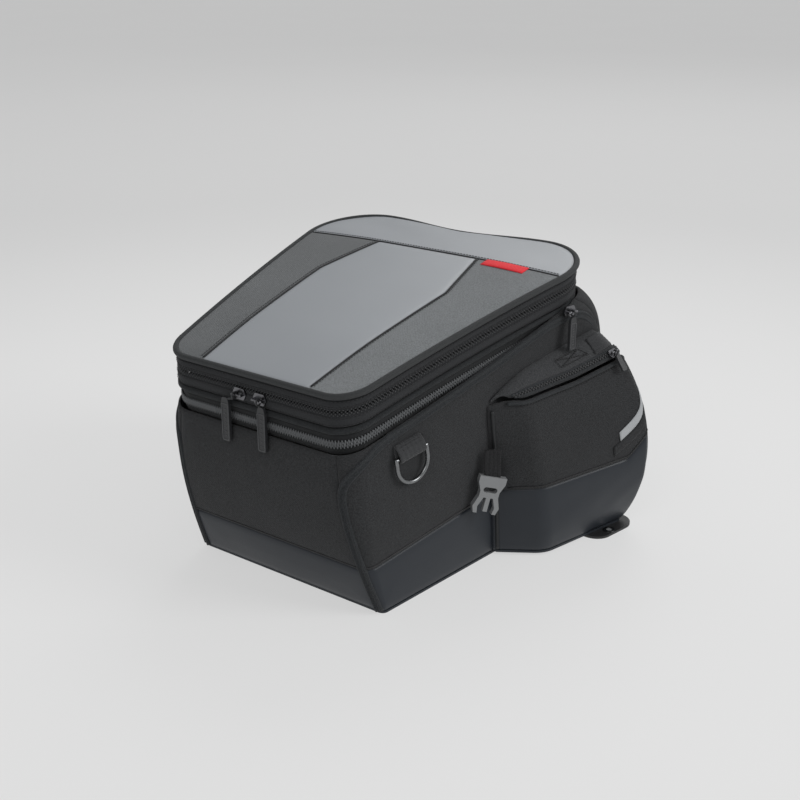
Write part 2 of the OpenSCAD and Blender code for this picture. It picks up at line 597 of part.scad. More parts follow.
base_panel();
base_board();
near_end_panel();
near_end_skirt();
far_end_panel();
far_end_skirt();
side_panel(1);  // side_panel_right
side_panel(-1);  // side_panel_left
side_skirt(1);  // side_skirt_right
side_skirt(-1);  // side_skirt_left
side_piping(1);  // side_piping_right
side_piping(-1);  // side_piping_left
top_gusset();
expansion_tape_lower();
d_ring_loop(1);  // d_ring_loop_right
d_ring_loop(-1);  // d_ring_loop_left
carry_handle();
pocket_wall(1);  // pocket_wall_right
pocket_wall(-1);  // pocket_wall_left
pocket_skirt(1);  // pocket_skirt_right
pocket_skirt(-1);  // pocket_skirt_left
pocket_piping(1);  // pocket_piping_right
pocket_piping(-1);  // pocket_piping_left
reflector(1);  // reflector_right
reflector(-1);  // reflector_left
mount_tab(1);  // mount_tab_right
mount_tab(-1);  // mount_tab_left
tab_eyelet(1);  // tab_eyelet_right
tab_eyelet(-1);  // tab_eyelet_left
collar_band();
collar_ridge();
expansion_tape_upper();
expansion_sleeve();
lid_board();
lid_centre_panel();
lid_side_panel(1);  // lid_side_panel_right
lid_side_panel(-1);  // lid_side_panel_left
lid_rear_panel();
lid_piping();
lid_band();
woven_tag();
main_slider(1);  // main_slider_right
main_slider(-1);  // main_slider_left
main_pull(1);  // main_pull_right
main_pull(-1);  // main_pull_left
expansion_slider();
expansion_pull();
d_ring(1);  // d_ring_right
d_ring(-1);  // d_ring_left
pocket_flap(1);  // pocket_flap_right
pocket_flap(-1);  // pocket_flap_left
pocket_slider(1);  // pocket_slider_right
pocket_slider(-1);  // pocket_slider_left
pocket_pull(1);  // pocket_pull_right
pocket_pull(-1);  // pocket_pull_left
buckle_strap(1);  // buckle_strap_right
buckle_strap(-1);  // buckle_strap_left
buckle_plug(1);  // buckle_plug_right
buckle_plug(-1);  // buckle_plug_left
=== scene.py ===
"""Tail bag: sewn shells, piping, zippers, webbing and studio, built over the bag's own frame."""
import math
from collections import namedtuple

import bpy
from bpy.props import FloatProperty, FloatVectorProperty, PointerProperty
from mathutils import Matrix, Vector, noise


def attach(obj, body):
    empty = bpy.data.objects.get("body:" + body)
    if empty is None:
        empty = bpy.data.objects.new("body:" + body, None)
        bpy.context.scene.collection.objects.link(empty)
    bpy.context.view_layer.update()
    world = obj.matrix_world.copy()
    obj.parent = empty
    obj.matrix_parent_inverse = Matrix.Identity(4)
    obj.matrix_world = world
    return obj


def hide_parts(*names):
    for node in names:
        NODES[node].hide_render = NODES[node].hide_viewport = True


bl_info = {
    "name": "Tail bag",
    "version": (1, 0, 0),
    "blender": (4, 5, 0),
    "location": "3D View > Sidebar > Tail bag",
    "description": "Builds the sewn shells, trims and studio of an expandable tail bag",
    "category": "Object",
}

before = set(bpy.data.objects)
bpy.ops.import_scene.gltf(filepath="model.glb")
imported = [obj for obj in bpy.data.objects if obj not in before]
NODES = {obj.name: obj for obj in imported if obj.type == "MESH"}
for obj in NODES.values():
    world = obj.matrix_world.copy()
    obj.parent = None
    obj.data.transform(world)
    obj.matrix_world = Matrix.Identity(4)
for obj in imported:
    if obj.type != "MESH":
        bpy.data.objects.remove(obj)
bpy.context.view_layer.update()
SIDES = (("right", 1), ("left", -1))

# ---- the bag's outline, in millimetres, with y counted from the near edge of the base
MM = 0.001
MID_Y = 125.2
NEAR_Y, FAR_Y = -37.5, 267.5
LID_LONG = FAR_Y - NEAR_Y
SEAM_FAR_Y, KINK_Y = 203.0, 132.0
# half widths and y of both ends, the radii of their corners, and how far the far end bows in
Outline = namedtuple("Outline", "near_half far_half near_y far_y near_radius far_radius bow")
LID = Outline(102.5, 158.5, NEAR_Y, FAR_Y, 30.0, 56.0, 9.0)
# c counts along an outline from the near end's middle; these are where its stretches end
C_NEAR, C_SIDE, C_FAR, C_BACK, C_LAST = 6, 14, 30, 38, 44
# the side piping runs between these
PIPE_NEAR, PIPE_FAR = 8, 32
QUARTER = math.pi / 2


def clamp(value, low=0.0, high=1.0):
    return max(low, min(high, value))


def mix(a, b, f):
    return a + (b - a) * f


def place(x, y, z):
    """A point of the bag in metres, in the frame's own origin."""
    return Vector((x, y - MID_Y, z)) * MM


def lid_z(y):
    """Height of the lid's edge."""
    return 202.5 + 0.277 * (y - NEAR_Y) - 17.0 * ((y - NEAR_Y) / 300.0) ** 2


def body_z(y):
    """Height of the body's top edge."""
    return lid_z(y) - 50.0 + 17.5 * (clamp(y, 0, 225) / 189.0) ** 2


def shrink(o, d):
    """The same outline d mm further in."""
    return Outline(o.near_half - d, o.far_half - d, o.near_y + d, o.far_y - d, max(1, o.near_radius - d),
                   max(1, o.far_radius - d), o.bow)


def taper(o):
    return math.atan2(o.far_half - o.near_half, o.far_y - o.near_y)


def near_centre(o):
    return o.near_half - o.near_radius / math.tan((QUARTER + taper(o)) / 2), o.near_y + o.near_radius


def far_centre(o):
    return o.far_half - o.far_radius / math.tan((QUARTER - taper(o)) / 2), o.far_y - o.far_radius


def outline_point(o, c):
    """Point c of an outline, counted from the near end's middle; negative ones are on the left."""
    k, a, n, f = abs(c), taper(o), near_centre(o), far_centre(o)

    def arc(centre, radius, angle):
        return centre[0] + radius * math.cos(angle), centre[1] + radius * math.sin(angle)

    if k <= C_NEAR:
        p = (n[0] * k / C_NEAR, o.near_y)
    elif k <= C_SIDE:
        p = arc(n, o.near_radius, -QUARTER + (QUARTER - a) * (k - C_NEAR) / (C_SIDE - C_NEAR))
    elif k <= C_FAR:
        w = (1 - math.cos(math.pi * (k - C_SIDE) / (C_FAR - C_SIDE))) / 2
        p, q = arc(n, o.near_radius, -a), arc(f, o.far_radius, -a)
        p = (mix(p[0], q[0], w), mix(p[1], q[1], w))
    elif k <= C_BACK:
        p = arc(f, o.far_radius, -a + (QUARTER + a) * (k - C_FAR) / (C_BACK - C_FAR))
    else:
        w = (k - C_BACK) / (C_LAST - C_BACK)
        p = (f[0] * (1 - w), o.far_y - o.bow * (1 - math.cos(math.pi * w)) / 2)
    return (-p[0], p[1]) if c < 0 else p


def half_width(o, y):
    a, n, f = taper(o), near_centre(o), far_centre(o)
    if y < n[1] - o.near_radius * math.sin(a):
        return n[0] + math.sqrt(max(0, o.near_radius ** 2 - (y - n[1]) ** 2))
    if y > f[1] - o.far_radius * math.sin(a):
        return f[0] + math.sqrt(max(0, o.far_radius ** 2 - (y - f[1]) ** 2))
    return o.near_half + (o.far_half - o.near_half) * (y - o.near_y) / (o.far_y - o.near_y)


def body_outline(t):
    """The body's outline at the share t of its height."""
    return Outline(
        near_half=mix(107.0, 102.0, t),
        far_half=mix(125.5, 167.0, t) - 6 * t ** 12,
        near_y=-38 * (1 - (1 - clamp(t / 0.87)) ** 1.6),
        far_y=mix(290, 280, t) - 18 * t ** 12,
        near_radius=mix(6, 27, t),
        far_radius=12 + 44 * t ** 6,
        bow=9 * t ** 8,
    )


def body_point(c, t):
    x, y = outline_point(body_outline(t), c)
    return place(x, y, t * body_z(y))


def body_half(y, z):
    return half_width(body_outline(z / body_z(y)), y)


def skirt_t(c):
    """Share of the height at which the coated skirt ends."""
    y = outline_point(body_outline(0.3), c)[1]
    return (46 + 0.13 * (y + 20)) / body_z(y)


def shoulder_t(c):
    """Share of the height at which a side panel ends and the gusset starts."""
    def eased(u):
        return math.sqrt(1 - (1 - clamp(u)) ** 2)

    o = body_outline(0.9)
    y, y_n, y_f = (outline_point(o, k)[1] for k in (abs(c), PIPE_NEAR, PIPE_FAR))
    return mix(0.79, 0.985, min(eased((y - y_n) / 45), eased((y_f - y) / 42)))


def lid_top(x, y):
    v, w = (y - NEAR_Y) / LID_LONG, half_width(LID, y)
    return lid_z(y) + 4 * (1 - (x / w) ** 2) * clamp(4 * v * (1 - v) * 1.4)


def bow_at(x, y):
    """How far the bowed far edge draws a point of the lid in."""
    return (LID.bow * clamp((y - NEAR_Y) / LID_LONG) ** 6
            * (1 + math.cos(math.pi * min(1, abs(x) / far_centre(LID)[0]))) / 2)


def lid_point(x, y):
    return place(x, y - bow_at(x, y), lid_top(x, y))


def centre_seam(y):
    """Half width of the lid's centre panel, which kinks at KINK_Y."""
    if y < KINK_Y:
        return mix(60, 72.5, (y - NEAR_Y) / (KINK_Y - NEAR_Y))
    return mix(72.5, 57, (y - KINK_Y) / (SEAM_FAR_Y - KINK_Y))


def span(a, b, n):
    """n even steps from a to b, with both ends."""
    return [mix(a, b, i / n) for i in range(n + 1)]


# ---- meshes
def make(name, points, faces, body, slot, material, uvs=None, smooth=True):
    """A mesh object of metre points that rides on a body of the frame."""
    mesh = bpy.data.meshes.new(name)
    mesh.from_pydata([tuple(p) for p in points], [], faces)
    if mesh.validate():
        raise RuntimeError(name + ": the mesh had broken faces")
    if uvs:
        layer = mesh.uv_layers.new(name="Cloth").data
        for loop in mesh.loops:
            layer[loop.index].uv = uvs[loop.vertex_index]
    if smooth:
        mesh.shade_smooth()
    obj = bpy.data.objects.new(name, mesh)
    bpy.context.collection.objects.link(obj)
    mesh.materials.append(material)
    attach(obj, body)
    return obj


def grid_normals(rows, wrap):
    count, wide = len(rows), len(rows[0])
    normals = []
    for j, row in enumerate(rows):
        up, low = rows[min(count - 1, j + 1)], rows[max(0, j - 1)]
        line = []
        for i in range(wide):
            a = row[(i + 1) % wide] if wrap else row[min(wide - 1, i + 1)]
            b = row[i - 1] if wrap else row[max(0, i - 1)]
            line.append((a - b).cross(up[i] - low[i]).normalized())
        normals.append(line)
    return normals


RIPPLE_START = 14.0


def shell(name, surface, us, vs, body, slot, material, thick=1.6, puff=0.8, tuck=1.0, tuck_wide=2.5,
          ripple=0.5, ripple_size=55.0, seed=0.0, wrap=False, extra=None, soft=12.0):
    """Cloth of real thickness over surface(u, v). It swells between its edges and tucks in along them.
    Seen from outside, u runs to the right and v goes up."""
    base = [[surface(u, v) for u in us] for v in vs]
    normals = grid_normals(base, wrap)
    tall, wide = len(vs), len(us)
    along = [[0.0] * wide for _ in vs]
    rise = [[0.0] * wide for _ in vs]
    for j in range(tall):
        for i in range(1, wide):
            along[j][i] = along[j][i - 1] + (base[j][i] - base[j][i - 1]).length
        if j:
            for i in range(wide):
                rise[j][i] = rise[j - 1][i] + (base[j][i] - base[j - 1][i]).length
    outer, inner, uvs = [], [], []
    for j in range(tall):
        for i in range(wide):
            near = [rise[j][i], rise[-1][i] - rise[j][i]]
            if not wrap:
                near += [along[j][i], along[j][-1] - along[j][i]]
            d = max(0.0, min(near)) / MM
            p = base[j][i]
            lift = puff * (1 - math.exp(-d / soft)) - tuck * math.exp(-((d / tuck_wide) ** 2))
            wave = noise.noise(p * 1000 / ripple_size + Vector((seed, 3.1, 7.7)))
            wave += 0.45 * noise.noise(p * 2300 / ripple_size + Vector((5.2, seed, 1.3)))
            lift += ripple * wave * (1 - math.exp(-d / RIPPLE_START))
            if extra:
                lift += extra(us[i], vs[j], p)
            outer.append(p + normals[j][i] * lift * MM)
            inner.append(p + normals[j][i] * (min(lift, 0) - thick) * MM)
            uvs.append((along[j][i], rise[j][i]))
    n = tall * wide
    faces = []
    for j in range(tall - 1):
        for i in range(wide if wrap else wide - 1):
            a, b = j * wide + i, j * wide + (i + 1) % wide
            faces.append((a, b, b + wide, a + wide))
            faces.append((a + n, a + wide + n, b + wide + n, b + n))
    for i in range(wide if wrap else wide - 1):
        k = (i + 1) % wide
        faces.append((i, i + n, k + n, k))
        top = (tall - 1) * wide
        faces.append((top + i, top + k, top + k + n, top + i + n))
    if not wrap:
        for j in range(tall - 1):
            a, b = j * wide, (j + 1) * wide
            faces.append((a, b, b + n, a + n))
            a, b = a + wide - 1, b + wide - 1
            faces.append((a, a + n, b + n, b))
    return make(name, outer + inner, faces, body, slot, material, uvs + uvs)


def sweep(name, path, profile, body, slot, material, closed=False):
    """A strip or cord: profile's (across, up) millimetres carried along (point, normal) pairs."""
    count, wide = len(path), len(profile)
    points, uvs, run = [], [], 0.0
    for i, (p, normal) in enumerate(path):
        a = path[(i + 1) % count][0] if closed else path[min(count - 1, i + 1)][0]
        b = path[i - 1][0] if closed else path[max(0, i - 1)][0]
        side = (a - b).cross(normal).normalized()
        up = side.cross(a - b).normalized()
        if i:
            run += (p - path[i - 1][0]).length
        for across, lift in profile:
            points.append(p + (side * across + up * lift) * MM)
            uvs.append((across * MM, run))
    faces = []
    for i in range(count if closed else count - 1):
        k = (i + 1) % count
        for j in range(wide):
            m = (j + 1) % wide
            faces.append((i * wide + j, i * wide + m, k * wide + m, k * wide + j))
    if not closed:
        faces.append(tuple(reversed(range(wide))))
        faces.append(tuple((count - 1) * wide + j for j in range(wide)))
    return make(name, points, faces, body, slot, material, uvs)


# ---- profiles, (across, up) in millimetres
def round_profile(radius, sides=12, flat=1.0, lift=0.0):
    angles = [2 * math.pi * i / sides for i in range(sides)]
    return [(radius * math.sin(a), lift - radius * flat * math.cos(a)) for a in angles]


def webbing_profile(width, thick, ribs=6):
    """Flat woven strap with raised ribs along it."""
    top = [(width * (0.5 - i / (ribs * 6)), thick / 2 + 0.28 * abs(math.sin(math.pi * i / 6)))
           for i in range(ribs * 6 + 1)]
    low = [(-x, -lift) for x, lift in top]
    return list(reversed(top + low))


SPINDLE_WAIST = 0.55


def beads(name, spots, body, slot, material):
    """Small spindles, one for each (centre, half length vector, half width vector, half height vector)."""
    points, faces = [], []
    for p, a, w, h in spots:
        n = len(points)
        points.append(p - a)
        for share in (-SPINDLE_WAIST, SPINDLE_WAIST):
            for x, y in ((1, 0), (0, 1), (-1, 0), (0, -1)):
                points.append(p + a * share + w * x + h * y)
        points.append(p + a)
        for k in range(4):
            m = (k + 1) % 4
            faces += [(n, n + 1 + m, n + 1 + k), (n + 1 + k, n + 1 + m, n + 5 + m, n + 5 + k),
                      (n + 9, n + 5 + k, n + 5 + m)]
    return make(name, points, faces, body, slot, material)


def seam_shade_line(name, path, body, slot, width=0.75, lift=0.1):
    """A dark cord where two panels are sewn together: painted shade of the seam's crease."""
    return sweep(name, path, round_profile(width, 8, 0.6, lift), body, slot, thread_and_seam_shade())


def every(path, pitch):
    """Evenly spaced (point, tangent, normal) along a path of (point, normal) pairs; pitch in mm."""
    out, want, run = [], pitch * MM / 2, 0.0
    for (p, n), (q, m) in zip(path, path[1:]):
        step = (q - p).length
        while step > 0 and want <= run + step:
            f = (want - run) / step
            out.append((p.lerp(q, f), (q - p).normalized(), n.lerp(m, f).normalized()))
            want += pitch * MM
        run += step
    return out


# half a stitch's length, width and height, and half a coil bar's height, in metres
THREAD_HALF = (0.00125, 0.00042, 0.00035)
COIL_HALF = 0.0007


def stitches(name, paths, body, slot, lift=0.25, pitch=3.2):
    """Rows of stitches along paths of (point, normal) pairs."""
    spots = []
    for path in paths:
        for p, along, normal in every(path, pitch):
            side = along.cross(normal)
            spots.append((p + normal * lift * MM, along * THREAD_HALF[0], side * THREAD_HALF[1],
                          normal * THREAD_HALF[2]))
    return beads(name, spots, body, slot, thread_and_seam_shade())


def coil(name, path, body, slot, material, pitch=1.35, reach=1.5, lift=0.3):
    """A closed zipper coil: bars from alternate sides that meet in the middle."""
    spots = []
    for i, (p, along, normal) in enumerate(every(path, pitch)):
        side = along.cross(normal) * (1 if i % 2 else -1)
        spots.append((p + side * COIL_HALF + normal * lift * MM, side * reach * MM,
                      along * pitch * 0.52 * MM, normal * COIL_HALF))
    return beads(name, spots, body, slot, material)


def joined(surface, u, v, step_u=0.05, step_v=0.01):
    """Point and outward normal of a surface."""
    p = surface(u, v)
    right = surface(u + step_u, v) - surface(u - step_u, v)
    up = surface(u, v + step_v) - surface(u, v - step_v)
    return p, right.cross(up).normalized()


# ---- shader groups
def new_group(name, inputs, outputs):
    tree = bpy.data.node_groups.new(name, "ShaderNodeTree")
    for label, kind, value in inputs:
        item = tree.interface.new_socket(label, in_out="INPUT", socket_type=kind)
        if value is not None:
            item.default_value = value
    for label, kind in outputs:
        tree.interface.new_socket(label, in_out="OUTPUT", socket_type=kind)
    return tree, tree.nodes.new("NodeGroupInput"), tree.nodes.new("NodeGroupOutput")


def math_node(tree, operation, a, b=None, clamped=False):
    node = tree.nodes.new("ShaderNodeMath")
    node.operation = operation
    node.use_clamp = clamped
    for socket, value in zip(node.inputs, (a, b)):
        if value is None:
            continue
        if isinstance(value, (int, float)):
            socket.default_value = value
        else:
            tree.links.new(value, socket)
    return node.outputs[0]


def mix_colour(tree, factor, a, b, blend="MIX"):
    node = tree.nodes.new("ShaderNodeMix")
    node.data_type = "RGBA"
    node.blend_type = blend
    for socket, value in ((node.inputs[0], factor), (node.inputs[6], a), (node.inputs[7], b)):
        if isinstance(value, (int, float)):
            socket.default_value = value
        elif isinstance(value, (tuple, list)):
            socket.default_value = (*value[:3], 1)
        else:
            tree.links.new(value, socket)
    return node.outputs[2]


def weave_group():
    """Plain weave of threads a given size apart: height and which thread is on top."""
    tree, start, end = new_group(
        "Plain weave",
        [("Vector", "NodeSocketVector", None), ("Thread", "NodeSocketFloat", 0.0008)],
        [("Height", "NodeSocketFloat"), ("Over", "NodeSocketFloat")])
    split = tree.nodes.new("ShaderNodeSeparateXYZ")
    tree.links.new(start.outputs["Vector"], split.inputs[0])
    u = math_node(tree, "DIVIDE", split.outputs[0], start.outputs["Thread"])
    v = math_node(tree, "DIVIDE", split.outputs[1], start.outputs["Thread"])
    over = math_node(tree, "FLOORED_MODULO", math_node(
        tree, "ADD", math_node(tree, "FLOOR", u), math_node(tree, "FLOOR", v)), 2.0)
    warp = math_node(tree, "ABSOLUTE", math_node(tree, "SINE", math_node(tree, "MULTIPLY", u, math.pi)))
    weft = math_node(tree, "ABSOLUTE", math_node(tree, "SINE", math_node(tree, "MULTIPLY", v, math.pi)))
    blend = tree.nodes.new("ShaderNodeMix")
    tree.links.new(over, blend.inputs[0])
    tree.links.new(warp, blend.inputs[2])
    tree.links.new(weft, blend.inputs[3])
    tree.links.new(blend.outputs[0], end.inputs["Height"])
    tree.links.new(over, end.inputs["Over"])
    return tree


def mottle_group():
    """Broad and fine unevenness in the object's own space."""
    tree, start, end = new_group(
        "Unevenness", [("Broad", "NodeSocketFloat", 14.0), ("Fine", "NodeSocketFloat", 900.0)],
        [("Broad", "NodeSocketFloat"), ("Fine", "NodeSocketFloat")])
    where = tree.nodes.new("ShaderNodeTexCoord")
    for label, detail in (("Broad", 3.0), ("Fine", 2.0)):
        node = tree.nodes.new("ShaderNodeTexNoise")
        node.inputs["Detail"].default_value = detail
        tree.links.new(where.outputs["Object"], node.inputs["Vector"])
        tree.links.new(start.outputs[label], node.inputs["Scale"])
        tree.links.new(node.outputs[0], end.inputs[label])
    return tree


def group_node(tree, name, builder):
    node = tree.nodes.new("ShaderNodeGroup")
    node.node_tree = bpy.data.node_groups.get(name) or builder()
    return node


def base_material(name):
    material = bpy.data.materials.new(name)
    material.use_nodes = True
    return material, material.node_tree, material.node_tree.nodes["Principled BSDF"]


def scaled(colour, k):
    return tuple(min(1.0, c * k) for c in colour[:3])


def cloth(name, colour, thread=0.0008, contrast=0.85, rough=0.85, bump=0.5, sheen=0.06, patch=0.16):
    """Woven synthetic cloth: threads, faint patches of wear and a little sheen."""
    found = bpy.data.materials.get(name)
    if found:
        return found
    material, tree, shader = base_material(name)
    uv = tree.nodes.new("ShaderNodeUVMap")
    uv.uv_map = "Cloth"
    weave = group_node(tree, "Plain weave", weave_group)
    weave.inputs["Thread"].default_value = thread
    tree.links.new(uv.outputs[0], weave.inputs["Vector"])
    uneven = group_node(tree, "Unevenness", mottle_group)
    height = weave.outputs["Height"]
    dark, light = scaled(colour, 1 - contrast), scaled(colour, 1 + contrast)
    threads = mix_colour(tree, height, dark, light)
    speck = math_node(tree, "MULTIPLY_ADD", uneven.outputs["Fine"], 2.2)
    speck.node.inputs[2].default_value = -0.6
    speckled = mix_colour(tree, 0.5, threads, mix_colour(tree, speck, dark, light))
    worn = math_node(tree, "MULTIPLY_ADD", uneven.outputs["Broad"], 2 * patch)
    worn.node.inputs[2].default_value = 1 - patch
    final = tree.nodes.new("ShaderNodeHueSaturation")
    tree.links.new(speckled, final.inputs["Color"])
    tree.links.new(worn, final.inputs["Value"])
    tree.links.new(final.outputs[0], shader.inputs["Base Color"])
    spread = math_node(tree, "MULTIPLY_ADD", uneven.outputs["Broad"], 0.12)
    spread.node.inputs[2].default_value = rough - 0.06
    tree.links.new(spread, shader.inputs["Roughness"])
    rise = tree.nodes.new("ShaderNodeBump")
    rise.inputs["Strength"].default_value = bump
    rise.inputs["Distance"].default_value = 0.0004
    tree.links.new(height, rise.inputs["Height"])
    tree.links.new(rise.outputs[0], shader.inputs["Normal"])
    shader.inputs["Sheen Weight"].default_value = sheen
    shader.inputs["Sheen Roughness"].default_value = 0.45
    shader.inputs["Specular IOR Level"].default_value = 0.16
    return material


def coated(name, colour, rough=0.42, grain=0.18, shine=0.5, patch=0.08, broad=14.0):
    """Smooth coated cloth, moulded rubber or plastic: fine grain and uneven gloss."""
    found = bpy.data.materials.get(name)
    if found:
        return found
    material, tree, shader = base_material(name)
    uneven = group_node(tree, "Unevenness", mottle_group)
    uneven.inputs["Broad"].default_value = broad
    uneven.inputs["Fine"].default_value = 1500.0
    tone = mix_colour(tree, uneven.outputs["Broad"], scaled(colour, 1 - patch), scaled(colour, 1 + patch))
    fine = mix_colour(tree, uneven.outputs["Fine"], scaled(colour, 0.9), scaled(colour, 1.1))
    tree.links.new(mix_colour(tree, 0.4, tone, fine), shader.inputs["Base Color"])
    spread = math_node(tree, "MULTIPLY_ADD", uneven.outputs["Broad"], 0.16)
    spread.node.inputs[2].default_value = rough - 0.08
    tree.links.new(spread, shader.inputs["Roughness"])
    rise = tree.nodes.new("ShaderNodeBump")
    rise.inputs["Strength"].default_value = grain
    rise.inputs["Distance"].default_value = 0.0003
    tree.links.new(uneven.outputs["Fine"], rise.inputs["Height"])
    tree.links.new(rise.outputs[0], shader.inputs["Normal"])
    shader.inputs["Specular IOR Level"].default_value = shine
    return material


def metal(name, colour, rough=0.3):
    """Plated metal with faint handling marks."""
    found = bpy.data.materials.get(name)
    if found:
        return found
    material, tree, shader = base_material(name)
    uneven = group_node(tree, "Unevenness", mottle_group)
    uneven.inputs["Broad"].default_value = 120.0
    uneven.inputs["Fine"].default_value = 1200.0
    tone = mix_colour(tree, uneven.outputs["Broad"], scaled(colour, 0.8), scaled(colour, 1.15))
    tree.links.new(tone, shader.inputs["Base Color"])
    spread = math_node(tree, "MULTIPLY_ADD", uneven.outputs["Fine"], 0.2)
    spread.node.inputs[2].default_value = rough - 0.1
    tree.links.new(spread, shader.inputs["Roughness"])
    rise = tree.nodes.new("ShaderNodeBump")
    rise.inputs["Strength"].default_value = 0.06
    rise.inputs["Distance"].default_value = 0.0002
    tree.links.new(uneven.outputs["Fine"], rise.inputs["Height"])
    tree.links.new(rise.outputs[0], shader.inputs["Normal"])
    shader.inputs["Metallic"].default_value = 1.0
    return material


# ---- settings
def colour_property(label, description, default):
    return FloatVectorProperty(name=label, description=description, subtype="COLOR", size=3, min=0, max=1,
                               default=default)


class TailBagColours(bpy.types.PropertyGroup):
    """Colours of the bag's cloths and trims."""
    body: colour_property("Body cloth", "Woven cloth of the body and pockets", (0.0255, 0.0262, 0.0275))
    skirt: colour_property("Coated skirt", "Coated cloth round the foot of the bag", (0.0175, 0.021, 0.0265))
    # painted light: the lid's cloth and coating get colours far lighter than the body's dark cloth, standing
    # in for the light falling on the bag's top
    lid_cloth: colour_property("Lid cloth", "Woven cloth beside the lid's centre", (0.187, 0.197, 0.203))
    lid_coated: colour_property("Lid coating", "Coated cloth of the lid's centre and rear",
                                (0.296, 0.312, 0.332))
    band: colour_property("Collar cloth", "Cloth of the bands under the lid", (0.027, 0.028, 0.030))
    piping: colour_property("Piping", "Rolled piping and welts", (0.026, 0.028, 0.030))
    tape: colour_property("Zipper tape", "Tape beside the zipper coils", (0.020, 0.021, 0.022))
    tag: colour_property("Woven tag", "Small woven tag in the lid's rear seam", (0.93, 0.042, 0.055))


class TailBagSizes(bpy.types.PropertyGroup):
    """Sizes of the bag's cloth and sewing."""
    thread: FloatProperty(name="Thread", description="Distance between the threads of the body cloth",
                          subtype="DISTANCE", default=0.0009, min=0.0003, max=0.003)
    fullness: FloatProperty(name="Fullness", description="How far the panels swell between seams, in mm",
                            default=1.4, min=0, max=4)
    stitch: FloatProperty(name="Stitch", description="Distance from one stitch to the next, in mm",
                          default=3.2, min=2, max=6)


def colour(name):
    return tuple(getattr(bpy.context.scene.tail_bag_colours, name))


def sizes():
    return bpy.context.scene.tail_bag_sizes


def body_cloth():
    return cloth("Body cloth", colour("body"), thread=sizes().thread)


def skirt_cloth():
    return coated("Coated skirt", colour("skirt"), rough=0.42, shine=0.3)


def thread_and_seam_shade():
    # near-black colour of the real stitches, also used for the seam cords, which are painted shade
    return coated("Sewing thread", (0.010, 0.010, 0.011), rough=0.6)


def collar_cloth():
    return cloth("Collar cloth", colour("band"), thread=0.0007, contrast=0.35)


def piping_cloth():
    return cloth("Piping cloth", colour("piping"), thread=0.0007)


def dark_piping():
    return coated("Rolled piping", scaled(colour("piping"), 0.6), rough=0.48, shine=0.3, broad=60)


def hidden_coil():
    return coated("Hidden coil", (0.035, 0.036, 0.038), rough=0.4)


def side_cs(side):
    """Outline counts of one side's panels, from left to right as seen from outside."""
    cs = span(PIPE_NEAR, PIPE_FAR, 96)
    return cs if side > 0 else [-c for c in reversed(cs)]


class TAILBAG_OT_body_panels(bpy.types.Operator):
    """Sewn end and side panels over their coated skirts"""
    bl_idname = "tailbag.body_panels"
    bl_label = "Body panels"

    def execute(self, context):
        def panel(name, low, top, cs, node, rows, seed, ripple=0.8):
            def surface(c, v):
                return body_point(c, mix(low(c), top(c), v))
            coated_one = low is ground
            obj = shell(name, surface, cs, span(0, 1, rows), "bag_body",
                        "body_coated" if coated_one else "body_fabric",
                        skirt_cloth() if coated_one else body_cloth(), puff=sizes().fullness,
                        ripple=ripple, seed=seed, tuck=0.9)
            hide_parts(node)

        def ground(_):
            return 0.01

        def seam_at(c):
            return joined(body_point, c, skirt_t(c) + 0.018)

        def full_height(c):
            return 1.0 if abs(c) < 31 else max(0.95, 0.99 - 0.005 * (abs(c) - 32))

        near = span(-PIPE_NEAR, PIPE_NEAR, 72)
        far = [c if c <= C_LAST else c - 2 * C_LAST for c in span(PIPE_FAR, 2 * C_LAST - PIPE_FAR, 80)]
        panel("near_end_cloth", skirt_t, full_height, near, "near_end_panel", 44, 1.0)
        panel("near_end_coated", ground, skirt_t, near, "near_end_skirt", 18, 2.0, 0.4)
        panel("far_end_cloth", skirt_t, full_height, far, "far_end_panel", 48, 3.0)
        panel("far_end_coated", ground, skirt_t, far, "far_end_skirt", 20, 4.0, 0.4)
        seams = [[seam_at(c) for c in near],
                 [seam_at(c) for c in far[2:-2] if abs(abs(c) - C_LAST) > 0.6]]
        for name, side in SIDES:
            cs = side_cs(side)
            panel("side_cloth_" + name, skirt_t, shoulder_t, cs, "side_panel_" + name, 44, 5.0 + side, 1.1)
            panel("side_coated_" + name, ground, skirt_t, cs, "side_skirt_" + name, 20, 8.0 + side, 0.5)
            seams.append([seam_at(c) for c in cs])
        for k, line in enumerate(seams):
            seam_shade_line("skirt_seam_%d" % k, [(p + n * 0.0004, n) for p, n in line], "bag_body", "body_fabric")
        stitches("body_stitching", seams, "bag_body", "body_fabric", 0.5, sizes().stitch)

        def strip(c, v):
            return body_point(c, mix(shoulder_t(c), full_height(c), v))
        for name, side in SIDES:
            shell("gusset_cloth_" + name, strip, side_cs(side), span(0, 1, 5), "bag_body",
                                "body_fabric", body_cloth(), puff=0.3, tuck=0.5, ripple=0.2,
                                seed=11.0 + side)
        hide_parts("top_gusset")
        return {"FINISHED"}


class TAILBAG_OT_side_piping(bpy.types.Operator):
    """Flat piping bands round the side panels"""
    bl_idname = "tailbag.side_piping"
    bl_label = "Side piping"

    def execute(self, context):
        band = [(-3.7, -1.8), (-3.8, 0.6), (-3.2, 1.7), (-2.3, 2.1), (-1.5, 1.7), (-1.0, 1.1), (1.0, 1.1),
                (1.5, 1.7), (2.3, 2.1), (3.2, 1.7), (3.8, 0.6), (3.7, -1.8)]
        welt = [(x, lift) for x, lift in reversed(band)]
        for name, side in SIDES:
            def at(c, t):
                return joined(body_point, side * c, clamp(t, 0.012, 0.985))
            path = [at(PIPE_NEAR, t) for t in span(0.02, shoulder_t(PIPE_NEAR), 40)[:-1]]
            path += [at(c, shoulder_t(c)) for c in span(PIPE_NEAR, PIPE_FAR, 120)]
            path += [at(PIPE_FAR, t) for t in span(shoulder_t(PIPE_FAR), 0.02, 40)[1:]]
            obj = sweep("piping_band_" + name, smoothed(path, 30), welt, "bag_body", "piping",
                        piping_cloth())
            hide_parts("side_piping_" + name)
        return {"FINISHED"}


